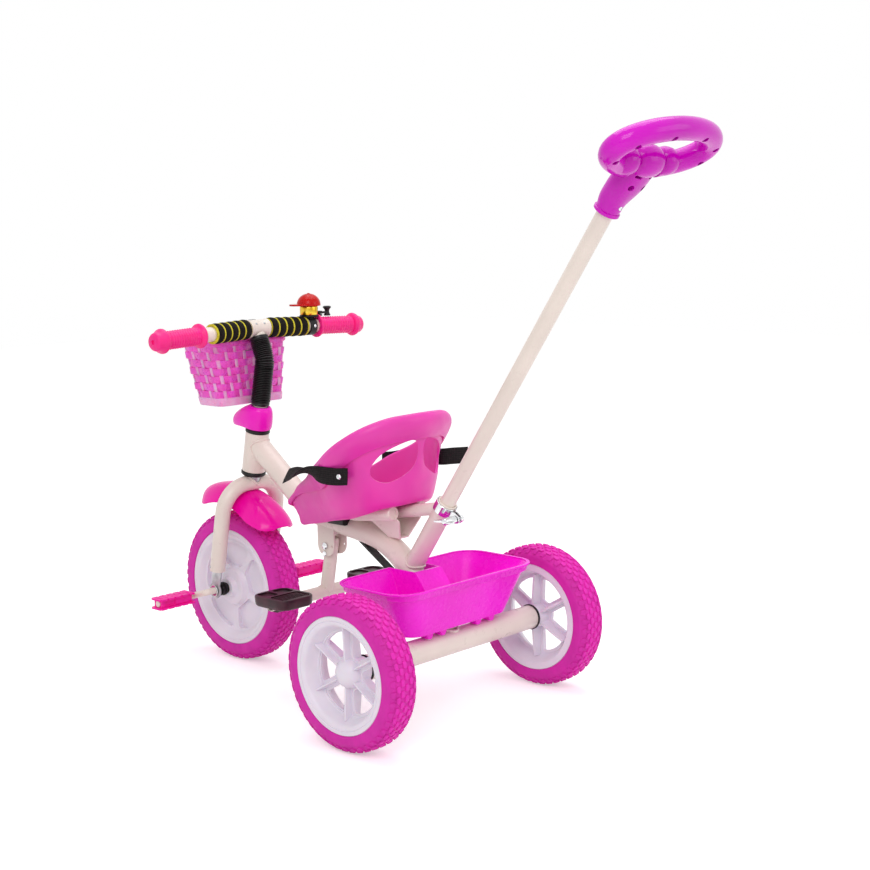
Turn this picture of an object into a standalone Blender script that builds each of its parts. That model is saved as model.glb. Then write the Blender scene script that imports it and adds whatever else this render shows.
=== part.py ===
"""Children's tricycle with a push pole, a rear bin, a front basket and a folding footrest.

It stands on its three wheels: +X is forward, +Y is the rider's left and +Z is up.
The dimensions below are millimetres measured from the rear axle and the ground.
Each mesh is scaled to metres, and shifted to the middle of the whole tricycle, as it is made.
"""

import math

import bmesh
import bpy
from mathutils import Vector

MM = 0.001
GAP = 0.3
REAR_AXLE_X = -84.0

# Rear wheels and their axle
REAR_WHEEL_R = 105.0
REAR_WHEEL_Y = 196.6
REAR_TYRE_HALF = 23.9
REAR_RIM_R = 79.6
AXLE_TUBE_R = 17.5
AXLE_TUBE_HALF = 172.0
ROD_R = 5.0

# Front wheel and the steering axis that leans back from its centre
FRONT_WHEEL_R = 118.8
FRONT_WHEEL_X = 453.2
FRONT_TYRE_HALF = 24.8
FRONT_RIM_R = 92.1
STEER_LEAN = math.radians(11.4)
FORK_TUBE_R = 12.0
FORK_LEG_Y = 54.5
FORK_CROWN = 172.0
FORK_BEND = 43.0
FORK_FOOT = 34.0
CRANK_LENGTH = 34.0
CRANK_Y = 72.3
CRANK_DROP = math.radians(17.0)
PEDAL_INNER = 79.5
PEDAL_OUTER = 147.0

# Frame tubes
MAIN_TUBE_R = 17.0
HEAD_TUBE_R = 18.25
HEAD_TUBE_LOW = 192.0
HEAD_TUBE_HIGH = 255.0
STEERER_BORE = 14.0
STEM_R = 11.0
SOCKET_R = 13.75
SOCKET_BORE = 11.4
POLE_R = 11.0
POLE_AXIS = Vector((-0.569, 0.0, 0.822)).normalized()
POLE_LOW = Vector((71.0, 0.0, 204.0))
SOCKET_LENGTH = 121.0
RAIL_R = 8.5
RAIL_Y = 29.0
STRUT_R = 9.0

# Handlebar
BAR_R = 11.0
BAR_MIDDLE = Vector((398.0, 0.0, 530.5))
BAR_END = Vector((383.0, 203.0, 524.0))
HOSE_R = 14.8
HOSE_RIBS = 20

# Push handle
HANDLE_HINGE = Vector((-331.0, 0.0, 760.0))
HANDLE_TILT = math.radians(31.0)
HANDLE_HALF_WIDTH = 91.0
HANDLE_HALF_DEPTH = 41.0
HANDLE_OFFSET = 28.0
HANDLE_TUBE_R = 14.5
HANDLE_BARREL_R = 17.0
HANDLE_BARREL_HALF = 30.0

# Footrest
FOLD_X = 240.0
FOLD_Z = 212.0
CROSS_X = 255.0
CROSS_Z = 138.0
CROSS_R = 9.5
PAD_TOP = 152.0

# Rear bin
BIN_RIM_Z = 202.0
BIN_FLOOR_Z = 132.0
BIN_WALL = 2.6
NOTCH_HALF = 24.0

FINISHES = {
    "cream_paint": ("#f3e9e4", 0.28, 0.0),
    "zinc": ("#b9babd", 0.35, 1.0),
    "chrome": ("#d5d7da", 0.12, 1.0),
    "magenta_tyre": ("#d835b0", 0.62, 0.0),
    "lavender_rim": ("#ece9f6", 0.38, 0.0),
    "pink_seat": ("#e552b0", 0.40, 0.0),
    "hot_pink": ("#ff1498", 0.36, 0.0),
    "magenta_bin": ("#ff2ee0", 0.34, 0.0),
    "violet_handle": ("#d31fce", 0.34, 0.0),
    "basket_pink": ("#f48ad4", 0.30, 0.0),
    "black_plastic": ("#1b191b", 0.50, 0.0),
    "brown_black": ("#2a2123", 0.45, 0.0),
    "black_foam": ("#161616", 0.85, 0.0),
    "black_webbing": ("#1a1517", 0.80, 0.0),
    "brass": ("#c9a23c", 0.25, 1.0),
    "red_paint": ("#c81f1c", 0.25, 0.0),
}

WHEEL_CENTRE = Vector((FRONT_WHEEL_X, 0.0, FRONT_WHEEL_R))
STEER_UP = Vector((-math.sin(STEER_LEAN), 0.0, math.cos(STEER_LEAN)))
LEFTWARD = Vector((0.0, 1.0, 0.0))
RIGHTWARD = Vector((0.0, -1.0, 0.0))
UPWARD = Vector((0.0, 0.0, 1.0))


def steer(forward, left, along):
    """A point given in the steering axis's own frame, which starts at the front axle."""
    x = FRONT_WHEEL_X + forward * math.cos(STEER_LEAN) - along * math.sin(STEER_LEAN)
    z = FRONT_WHEEL_R + forward * math.sin(STEER_LEAN) + along * math.cos(STEER_LEAN)
    return Vector((x, left, z))


def world(point):
    """The place in the scene, in metres, of a point measured from the rear axle."""
    return Vector((point[0] + REAR_AXLE_X, point[1], point[2])) * MM


def linear(channel):
    """One sRGB channel as the linear value that a shader takes."""
    return channel / 12.92 if channel <= 0.04045 else ((channel + 0.055) / 1.055) ** 2.4


def make_material(name):
    """A Principled material with the colour, roughness and metal of one finish."""
    colour, roughness, metal = FINISHES[name]
    made = bpy.data.materials.new(name)
    made.use_nodes = True
    shader = made.node_tree.nodes["Principled BSDF"]
    rgb = [linear(int(colour[i : i + 2], 16) / 255.0) for i in (1, 3, 5)]
    shader.inputs["Base Color"].default_value = (*rgb, 1.0)
    shader.inputs["Roughness"].default_value = roughness
    shader.inputs["Metallic"].default_value = metal
    made.diffuse_color = (*rgb, 1.0)
    return made


def add(name, bm, finish, origin=(0.0, 0.0, 0.0), axis=None, parent=None):
    """Make an object. With an axis the mesh stands along it, otherwise it lies in tricycle space."""
    origin = Vector(origin)
    if axis is None:
        bmesh.ops.translate(bm, verts=bm.verts, vec=-origin)
    bmesh.ops.scale(bm, verts=bm.verts, vec=(MM, MM, MM))
    bmesh.ops.recalc_face_normals(bm, faces=bm.faces)
    mesh = bpy.data.meshes.new(name)
    bm.to_mesh(mesh)
    bm.free()
    mesh.shade_smooth()
    mesh.set_sharp_from_angle(angle=math.radians(35.0))
    obj = bpy.data.objects.new(name, mesh)
    bpy.context.scene.collection.objects.link(obj)
    obj.location = world(origin)
    if axis is not None:
        obj.rotation_euler = UPWARD.rotation_difference(Vector(axis)).to_euler()
    if finish:
        mesh.materials.append(bpy.data.materials.get(finish) or make_material(finish))
    if parent:
        obj.parent = parent
        obj.matrix_parent_inverse = parent.matrix_world.inverted()
    return obj


def pivot(name, origin, parent=None):
    """An empty on a joint's axis, which carries the pieces that move about it."""
    empty = bpy.data.objects.new(name, None)
    empty.empty_display_size = 0.03
    bpy.context.scene.collection.objects.link(empty)
    empty.location = world(origin)
    bpy.context.view_layer.update()
    if parent:
        empty.parent = parent
        empty.matrix_parent_inverse = parent.matrix_world.inverted()
        bpy.context.view_layer.update()
    return empty


def boolean(target, bm, operation="DIFFERENCE", origin=(0.0, 0.0, 0.0), axis=None):
    """Cut a shape from the target, or join it on, and hide the shape."""
    tool = add(target.name + "_tool", bm, None, origin, axis)
    tool.hide_render = True
    tool.display_type = "WIRE"
    modifier = target.modifiers.new(operation.lower(), "BOOLEAN")
    modifier.operation = operation
    modifier.solver = "EXACT"
    modifier.object = tool
    return tool


def turned(profile, steps, ring=False):
    """Spin a (radius, height) outline about Z. A ring outline closes on itself round a bore."""
    bm = bmesh.new()
    corners = [bm.verts.new((radius, 0.0, height)) for radius, height in profile]
    edges = [bm.edges.new(pair) for pair in zip(corners, corners[1:])]
    if ring:
        edges.append(bm.edges.new((corners[-1], corners[0])))
    turn = {"cent": (0, 0, 0), "axis": (0, 0, 1), "dvec": (0, 0, 0), "angle": math.tau}
    bmesh.ops.spin(bm, geom=corners + edges, steps=steps, use_merge=True, **turn)
    bmesh.ops.remove_doubles(bm, verts=bm.verts, dist=0.0001)
    return bm


def mirrored(profile):
    """A ring outline from its upper half, whose points run from the bore outwards."""
    return profile + [(radius, -height) for radius, height in reversed(profile)]


def skin(bm, rings, closed=False):
    """Bridge neighbouring rings of points, and cap the two ends unless they meet."""
    made = [[bm.verts.new(point) for point in ring] for ring in rings]
    pairs = list(zip(made, made[1:]))
    if closed:
        pairs.append((made[-1], made[0]))
    for low, high in pairs:
        for i in range(len(low)):
            j = (i + 1) % len(low)
            bm.faces.new((low[i], low[j], high[j], high[i]))
    if not closed:
        bm.faces.new(made[0])
        bm.faces.new(list(reversed(made[-1])))
    return bm


def circle(radius, sides, flat=1.0, turn=0.0):
    """A round or oval section, as (sideways, upward) pairs."""
    angles = [math.tau * i / sides + turn for i in range(sides)]
    return [(radius * math.cos(a), radius * flat * math.sin(a)) for a in angles]


def sweep(path, section, side, scales=None, closed=False):
    """Carry a section along a path, with its first axis kept towards the side vector."""
    rings = []
    last = len(path) - 1
    for i, point in enumerate(path):
        before = path[i - 1] if i > 0 or closed else point
        after = path[(i + 1) % len(path)] if i < last or closed else point
        ahead = (after - before).normalized()
        first = (side - ahead * side.dot(ahead)).normalized()
        second = ahead.cross(first)
        scale = scales[i] if scales else 1.0
        rings.append([point + (first * a + second * b) * scale for a, b in section])
    return skin(bmesh.new(), rings, closed)


def rounded(points, radius, steps, closed=False):
    """A polyline with each corner replaced by an arc."""
    points = [Vector(point) for point in points]
    count = len(points)
    out = []
    for i, corner in enumerate(points):
        if not closed and i in (0, count - 1):
            out.append(corner)
            continue
        back = (points[i - 1] - corner).normalized()
        ahead = (points[(i + 1) % count] - corner).normalized()
        half = back.angle(ahead) / 2.0
        reach = radius / math.tan(half)
        middle = corner + (back + ahead).normalized() * (radius / math.sin(half))
        start = (corner + back * reach - middle).normalized()
        end = (corner + ahead * reach - middle).normalized()
        for step in range(steps + 1):
            out.append(middle + start.slerp(end, step / steps) * radius)
    return out


def smooth(points, steps, closed=False):
    """A Catmull-Rom curve through the points."""
    points = [Vector(point) for point in points]
    count = len(points)
    out = []
    for i in range(count if closed else count - 1):
        if closed:
            a, b, c, d = (points[(i + k) % count] for k in (-1, 0, 1, 2))
        else:
            a, b, c, d = (points[min(max(i + k, 0), count - 1)] for k in (-1, 0, 1, 2))
        for step in range(steps):
            t = step / steps
            bend = 2 * a - 5 * b + 4 * c - d
            twist = 3 * b - a - 3 * c + d
            out.append((2 * b + (c - a) * t + bend * t**2 + twist * t**3) / 2.0)
    if not closed:
        out.append(points[-1])
    return out


def evenly(points, count, closed=True):
    """The same curve with its points spaced evenly along it."""
    loop = points + [points[0]] if closed else points
    lengths = [(b - a).length for a, b in zip(loop, loop[1:])]
    total = sum(lengths)
    spans = count if closed else count - 1
    out = []
    for k in range(count):
        goal = total * k / spans
        i = 0
        while i < len(lengths) - 1 and goal > lengths[i]:
            goal -= lengths[i]
            i += 1
        out.append(loop[i].lerp(loop[i + 1], min(goal / lengths[i], 1.0)))
    return out


def outline(corners, radius, steps):
    """A flat outline with rounded corners, as pairs."""
    return [(p.x, p.y) for p in rounded([(a, b, 0.0) for a, b in corners], radius, steps, True)]


def prism(pairs, low, high, across="y"):
    """Extrude an outline. Its pairs are XZ across Y, YZ across X or XY across Z."""
    bm = bmesh.new()
    rings = []
    for level in (low, high):
        if across == "y":
            rings.append([Vector((a, level, b)) for a, b in pairs])
        elif across == "x":
            rings.append([Vector((level, a, b)) for a, b in pairs])
        else:
            rings.append([Vector((a, b, level)) for a, b in pairs])
    return skin(bm, rings)


def box(x0, x1, y0, y1, z0, z1):
    """A plain block between two corners."""
    return prism([(x0, y0), (x1, y0), (x1, y1), (x0, y1)], z0, z1, "z")


def merge(shapes):
    """Put several separate shapes in one mesh, for use as a cutter."""
    whole = bmesh.new()
    for shape in shapes:
        held = bpy.data.meshes.new("held")
        shape.to_mesh(held)
        shape.free()
        whole.from_mesh(held)
        bpy.data.meshes.remove(held)
    return whole


def rod(low, high, radius, sides=20):
    """A plain round bar between two points."""
    low = Vector(low)
    high = Vector(high)
    side = LEFTWARD if abs((high - low).normalized().y) < 0.9 else UPWARD
    return sweep([low, high], circle(radius, sides), side)


def sector(start, end, inner, outer, half_bar, corner):
    """The outline of the opening between two parallel-sided spokes."""
    points = []
    for radius, count, forward in ((inner, 2, True), (outer, 4, False)):
        margin = math.asin(half_bar / radius)
        angles = [start + margin + (end - start - 2 * margin) * k / (count - 1) for k in range(count)]
        for a in angles if forward else reversed(angles):
            points.append(Vector((radius * math.cos(a), radius * math.sin(a), 0.0)))
    keep = []
    for i, point in enumerate(points):
        back = (points[i - 1] - point).normalized()
        ahead = (points[(i + 1) % len(points)] - point).normalized()
        if back.angle(ahead) < math.radians(130):
            keep.append(point + back * corner)
            keep.append(point + ahead * corner)
        else:
            keep.append(point)
    return [(p.x, p.y) for p in keep]


def clear_scene():
    """Remove whatever the scene starts with."""
    for obj in list(bpy.data.objects):
        bpy.data.objects.remove(obj, do_unlink=True)


# Main tube: one bent tube from the head tube, under the seat, down to the axle tube
MAIN_ROUTE = [
    (409.0, 0.0, 354.0),
    (380.0, 0.0, 331.6),
    (350.0, 0.0, 308.5),
    (320.0, 0.0, 285.0),
    (287.0, 0.0, 262.0),
    (250.0, 0.0, 252.5),
    (205.0, 0.0, 246.5),
    (177.0, 0.0, 242.6),
    (152.0, 0.0, 238.5),
    (130.0, 0.0, 232.5),
    (109.0, 0.0, 222.4),
    (87.0, 0.0, 206.0),
    (60.0, 0.0, 177.0),
    (8.0, 0.0, 115.0),
]


def main_tube_shape(extra):
    """The main tube's body, or a cutter a little larger than it."""
    path = [Vector(point) for point in MAIN_ROUTE]
    return sweep(path, circle(MAIN_TUBE_R + extra, 14), LEFTWARD)


def build_frame(root):
    """The welded tubes of the frame."""
    main = add("main_tube", main_tube_shape(0.0), "cream_paint", parent=root)
    head_low = steer(0, 0, HEAD_TUBE_LOW - 20)
    head_high = steer(0, 0, HEAD_TUBE_HIGH + 30)
    boolean(main, rod(head_low, head_high, HEAD_TUBE_R + GAP, 20))
    boolean(main, rod((0, -40, REAR_WHEEL_R), (0, 40, REAR_WHEEL_R), AXLE_TUBE_R + GAP, 18))

    middle = (HEAD_TUBE_LOW + HEAD_TUBE_HIGH) / 2.0
    half = (HEAD_TUBE_HIGH - HEAD_TUBE_LOW) / 2.0
    wall = mirrored([(STEERER_BORE, half), (HEAD_TUBE_R, half)])
    add("head_tube", turned(wall, 20, True), "cream_paint", steer(0, 0, middle), STEER_UP, root)

    # The axle tube is necked down to the rod at both ends
    half = AXLE_TUBE_HALF
    wall = mirrored(
        [
            (AXLE_TUBE_R - 2.0, half - 18.0),
            (ROD_R + GAP, half - 18.0),
            (ROD_R + GAP, half),
            (AXLE_TUBE_R, half),
        ]
    )
    tube = turned(wall, 16, True)
    add("rear_axle_tube", tube, "cream_paint", (0, 0, REAR_WHEEL_R), LEFTWARD, root)
    end = REAR_WHEEL_Y + 7.0
    bar = turned([(0, end), (ROD_R, end), (ROD_R, -end), (0, -end)], 12)
    add("rear_axle_rod", bar, "zinc", (0, 0, REAR_WHEEL_R), LEFTWARD, root)

    # Socket for the push pole, coped onto the main tube and split at the top for the clamp
    wall = [
        (0.0, 20.0),
        (SOCKET_BORE, 20.0),
        (SOCKET_BORE, SOCKET_LENGTH),
        (SOCKET_R, SOCKET_LENGTH),
        (SOCKET_R, -16.0),
        (0.0, -16.0),
    ]
    socket = add("pole_socket", turned(wall, 18), "cream_paint", POLE_LOW, POLE_AXIS, root)
    boolean(socket, main_tube_shape(GAP))
    top = POLE_LOW + POLE_AXIS * (SOCKET_LENGTH + 4.0)
    low = POLE_LOW + POLE_AXIS * (SOCKET_LENGTH - 26.0)
    slot = sweep([low, top], [(-1.2, -20.0), (1.2, -20.0), (1.2, 0.0), (-1.2, 0.0)], LEFTWARD)
    boolean(socket, slot)

    # Strut from the top of the socket to the top of the main tube, under the seat
    strut = add("pole_strut", rod((166, 0, 266), (20, 0, 292.5), STRUT_R), "cream_paint", parent=root)
    boolean(strut, main_tube_shape(GAP))
    boolean(strut, rod(POLE_LOW, POLE_LOW + POLE_AXIS * 140, SOCKET_R + 2.3 + GAP, 18))


def rail_z(x):
    """Height of the seat rail's centreline."""
    return 281.6 - 0.118 * (x - 100.0)


def build_seat_carrier(root):
    """The hairpin rail under the seat, its folded bracket and the saddle block in front."""
    corners = [
        (80, RAIL_Y, rail_z(80)),
        (179, RAIL_Y, rail_z(179)),
        (179, -RAIL_Y, rail_z(179)),
        (80, -RAIL_Y, rail_z(80)),
    ]
    path = rounded(corners, RAIL_Y - 0.5, 3)
    plane = Vector((0.118, 0.0, 1.0)).normalized()
    rail = add("seat_rail", sweep(path, circle(RAIL_R, 12), plane), "cream_paint", parent=root)
    for y in (RAIL_Y, -RAIL_Y):
        # A shallow dish in each closed rear end
        low = Vector((79.0, y, rail_z(79.0)))
        boolean(rail, rod(low, low + Vector((2.6, 0.0, -0.3)), RAIL_R - 1.6, 10))

    # Folded channel: its floor sits on the main tube and its cheeks spread to the two rails
    sheet = 2.6
    fold = [(-30.5, 284.0), (-9.0, 241.2), (9.0, 241.2), (30.5, 284.0)]
    inner = [(30.5 - sheet, 284.0), (7.6, 241.2 + sheet), (-7.6, 241.2 + sheet), (sheet - 30.5, 284.0)]
    bracket = add("seat_bracket", prism(fold + inner, 40, 150, "x"), "cream_paint", parent=root)
    lift = RAIL_R + GAP + 1.0
    side = [(74, rail_z(74) - lift), (90, 238), (108, 238), (138, rail_z(138) - lift)]
    boolean(bracket, prism(outline(side, 4.0, 3), -40, 40), "INTERSECT")
    rails = [rod((40, y, rail_z(40)), (160, y, rail_z(160)), RAIL_R + GAP, 16) for y in (RAIL_Y, -RAIL_Y)]
    boolean(bracket, merge(rails))
    boolean(bracket, main_tube_shape(GAP))

    block = outline([(-26, 250), (26, 250), (26, 279.0), (-26, 279.0)], 4.0, 3)
    saddle = add("seat_block", prism(block, 188, 222, "x"), "black_plastic", parent=root)
    boolean(saddle, main_tube_shape(GAP))


# Seat shell: three loops of the left half, from the front middle round to the back middle
SEAT_PAN = [
    (258, 0, 285), (255, 12, 284), (243, 19, 282), (213, 34, 281), (180, 44, 282.5),
    (140, 46, 287), (110, 44, 290.5), (94, 34, 293), (84, 18, 295), (81, 0, 295.5),
]
SEAT_KEEL = [
    (264, 0, 288), (272, 17, 283), (282, 28, 263), (270, 37, 247), (240, 41, 250),
    (205, 48, 257), (178, 57, 264), (150, 64, 270), (126, 66, 275), (100, 63, 284),
    (82, 50, 292), (67, 30, 296), (62, 0, 297.5),
]
SEAT_RIM = [
    (270, 0, 294), (280, 17, 293), (298, 28, 280), (303, 38, 273), (290, 47, 280),
    (262, 54, 300), (240, 59, 316), (213, 66, 334), (188, 77, 348), (160, 91, 360),
    (134, 98, 371), (110, 97, 382), (91, 89, 393), (75, 74, 403), (62, 52, 413),
    (53, 27, 420), (49, 0, 422),
]
SEAT_STEPS = 32


def seat_loop(half):
    """A whole loop of the seat from its left half, with evenly spaced points."""
    right = [(x, -y, z) for x, y, z in reversed(half[1:-1])]
    return evenly(smooth(half + right, 6, True), SEAT_STEPS)


def build_seat(root):
    """A moulded bucket seat with a rolled edge and a hand hole in each rear corner."""
    pan = seat_loop(SEAT_PAN)
    keel = seat_loop(SEAT_KEEL)
    rim = seat_loop(SEAT_RIM)
    rings = [pan, keel]
    for part in (0.28, 0.62):
        ring = []
        for low, high in zip(keel, rim):
            span = high - low
            out = part**0.72
            up = part**1.22
            ring.append(low + Vector((span.x * out, span.y * out, span.z * up)))
        rings.append(ring)
    rings.append(rim)
    for outward, down in ((5.0, 0.0), (7.0, 10.5)):
        ring = []
        for i, point in enumerate(rim):
            along = rim[(i + 1) % SEAT_STEPS] - rim[i - 1]
            out = Vector((along.y, -along.x, 0.0)).normalized()
            front = max(0.0, min(1.0, (point.x - 270.0) / 30.0))
            ring.append(point + out * outward - UPWARD * down * (1.0 - 0.5 * front))
        rings.append(ring)
    bm = bmesh.new()
    made = [[bm.verts.new(point) for point in ring] for ring in rings]
    for low, high in zip(made, made[1:]):
        for i in range(SEAT_STEPS):
            j = (i + 1) % SEAT_STEPS
            bm.faces.new((low[i], low[j], high[j], high[i]))
    # The pan is closed by strips that run straight across from left to right
    first = made[0]
    half = SEAT_STEPS // 2
    for i in range(half):
        left = (first[i], first[i + 1])
        right = (first[-i - 1], first[-i])
        if i == 0:
            bm.faces.new((first[0], first[1], first[-1]))
        elif i == half - 1:
            bm.faces.new((first[i], first[i + 1], first[-i]))
        else:
            bm.faces.new((left[0], left[1], right[0], right[1]))
    seat = add("seat_shell", bm, "pink_seat", parent=root)
    mesh = seat.data
    down = sum(face.normal.z for face in mesh.polygons if face.center.z < 0.283)
    if down > 0:
        mesh.flip_normals()
    shell = seat.modifiers.new("wall", "SOLIDIFY")
    shell.thickness = 2.8 * MM
    shell.offset = -1.0
    shell.use_even_offset = False
    shell.use_quality_normals = True

    # Hand holes: pear-shaped, rising to the rear
    hole = [
        (-22, 357), (-18, 368), (-8, 379), (6, 388), (23, 392), (38, 393), (43, 388),
        (42, 374), (36, 359), (25, 349), (9, 345), (-6, 344), (-17, 348),
    ]
    loop = evenly(smooth([(a, b, 0.0) for a, b in hole], 4, True), 18)
    for hand in (1, -1):
        back = Vector((-0.72, -0.69 * hand, 0.0)).normalized()
        out = Vector((-0.69, 0.72 * hand, 0.0)).normalized()
        centre = Vector((60.0, 62.0 * hand, 0.0))
        rings = []
        for depth in (-82.0, 30.0):
            rings.append([centre + back * p.x + UPWARD * p.y + out * depth for p in loop])
        boolean(seat, skin(bmesh.new(), rings))


def strap(route, thickness):
    """Flat webbing. Each stop is its centre and the vector to its upper edge."""
    centres = smooth([stop[0] for stop in route], 2)
    edges = smooth([stop[1] for stop in route], 2)
    rings = []
    last = len(centres) - 1
    for i, (centre, edge) in enumerate(zip(centres, edges)):
        ahead = centres[min(i + 1, last)] - centres[max(i - 1, 0)]
        edge = edge.normalized() * (12.5 if edge.length > 12.5 else edge.length)
        face = ahead.cross(edge).normalized() * (thickness / 2.0)
        rings.append([centre - edge - face, centre + edge - face, centre + edge + face, centre - edge + face])
    return skin(bmesh.new(), rings)


def build_belts(root):
    """The two waist straps, which hang free from a screw on each side of the seat."""
    left = [
        ((121, 113, 341), (-2, 0, 13)),
        ((142, 111, 344), (-2, -1, 13)),
        ((162, 109, 345), (0, 6, 11)),
        ((183, 104, 341), (4, 10, 2)),
        ((206, 95, 337), (6, 8, -7)),
        ((232, 83, 331), (6, 4, -11)),
        ((252, 77, 325), (5, 3, -11.5)),
    ]
    add("belt_left", strap(left, 1.6), "black_webbing", parent=root)
    right = [
        ((226, -96, 330), (-3, 3, 12)),
        ((205, -98, 333), (-3, 3, 12)),
        ((183, -103, 337), (-2, 2, 13)),
        ((160, -108, 340), (-2, 1, 13)),
        ((137, -112.5, 341), (-2, 1, 13)),
        ((122, -118, 341), (0, 1, 13)),
        ((115, -133, 341), (0, 0, 13)),
        ((112, -150, 340), (0, 0, 13)),
        ((111, -164, 339), (0, 0, 13)),
    ]
    add("belt_right", strap(right, 1.6), "black_webbing", parent=root)


def plate_ring(x0, x1, half, corner, z, steps=3):
    """A level loop of points round a rounded rectangle."""
    pairs = outline([(x0, -half), (x1, -half), (x1, half), (x0, half)], corner, steps)
    return [Vector((x, y, z)) for x, y in pairs]


def build_bin(root):
    """The moulded rear bin, recessed round the main tube and standing on small feet."""
    rim = BIN_RIM_Z
    floor = BIN_FLOOR_Z
    rings = [
        plate_ring(-13, 74, 99, 22, floor),
        plate_ring(-16, 79, 103, 25, floor + 3),
        plate_ring(-30, 95, 133, 32, rim - 12),
        plate_ring(-33.5, 98.5, 137, 34, rim - 11.5),
        plate_ring(-36, 101, 140, 36, rim - 4),
        plate_ring(-39, 104, 143, 38, rim - 3),
        plate_ring(-39, 104, 143, 38, rim),
    ]
    tub = add("rear_bin", skin(bmesh.new(), rings), "magenta_bin", parent=root)
    wall = BIN_WALL
    rings = [
        plate_ring(-13 + wall, 74 - wall, 99 - wall, 20, floor + wall),
        plate_ring(-28, 93, 130.5, 30, rim - 12),
        plate_ring(-33, 98, 137, 34, rim - 3.5),
        plate_ring(-33, 98, 137, 34, rim + 6),
    ]
    hollow = skin(bmesh.new(), rings)
    slope = [(-25.5, 105.0), (74.0, 227.0), (190.0, 227.0), (190.0, 105.0)]
    thick = [(-29.5, 105.0), (70.0, 227.0), (190.0, 227.0), (190.0, 105.0)]
    tool = boolean(tub, hollow)
    boolean(tool, prism(thick, -NOTCH_HALF - wall, NOTCH_HALF + wall))
    boolean(tub, prism(slope, -NOTCH_HALF, NOTCH_HALF))
    # Wedge-shaped feet that stand on the axle tube
    feet = []
    for y in (58.0, 31.0, -42.0, -70.0):
        foot = [(y - 9, floor + 1), (y + 9, floor + 1), (y + 3, 122.9), (y - 3, 122.9)]
        feet.append(prism(foot, -7, 7, "x"))
    boolean(tub, merge(feet), "UNION")

    # Flat black stay stretched under the bend of the main tube
    low = Vector((60.0, 0.0, 155.0))
    high = Vector((180.0, 0.0, 230.5))
    section = [(-6, -2), (6, -2), (6, 2), (-6, 2)]
    stay = add("arch_stay", sweep([low, high], section, LEFTWARD), "black_plastic", parent=root)
    boolean(stay, main_tube_shape(GAP))


def build_clamp(root):
    """The chrome band that clamps the push pole, with its wing screw."""
    place = POLE_LOW + POLE_AXIS * (SOCKET_LENGTH - 9.0)
    band = turned(mirrored([(SOCKET_R + GAP, 7.5), (SOCKET_R + 2.3, 7.5)]), 18, True)
    clamp = add("clamp_band", band, "chrome", place, POLE_AXIS, root)
    back = POLE_AXIS.cross(LEFTWARD)
    if back.x > 0:
        back = -back
    ears = []
    for y in (3.2, -3.2):
        pairs = outline([(14.6, -6.5), (32.0, -6.5), (32.0, 6.5), (14.6, 6.5)], 1.2, 1)
        rings = []
        for level in (y - 1.2, y + 1.2):
            rings.append([place + back * a + POLE_AXIS * b + LEFTWARD * level for a, b in pairs])
        ears.append(skin(bmesh.new(), rings))
    boolean(clamp, merge(ears), "UNION")
    gap = [(11.0, -9.0), (20.0, -9.0), (20.0, 9.0), (11.0, 9.0)]
    rings = []
    for level in (-1.9, 1.9):
        rings.append([place + back * a + POLE_AXIS * b + LEFTWARD * level for a, b in gap])
    boolean(clamp, skin(bmesh.new(), rings))
    hub = place + back * 26.0
    boolean(clamp, rod(hub - LEFTWARD * 9, hub + LEFTWARD * 9, 3.3, 8))

    # Wing screw: shank through both ears, round head on the right, two wings on the left
    turning = pivot("clamp_screw_axis", hub, root)
    profile = [(0, 28), (4.5, 27), (5.5, 16.5), (5.5, 5.2), (3.0, 5.2)]
    profile += [(3.0, -5.0), (6.0, -5.0), (5.0, -9.5), (0, -10)]
    screw = add("clamp_screw", turned(profile, 10), "chrome", hub, LEFTWARD, turning)
    wings = []
    for way in (1, -1):
        pairs = outline([(2, 18.5), (14, 19.5), (18, 31), (10, 30.5), (2, 25)], 2.0, 2)
        wings.append(prism([(a * way, b) for a, b in pairs], -1.3, 1.3, "y"))
    boolean(screw, merge(wings), "UNION", hub, LEFTWARD)


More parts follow.
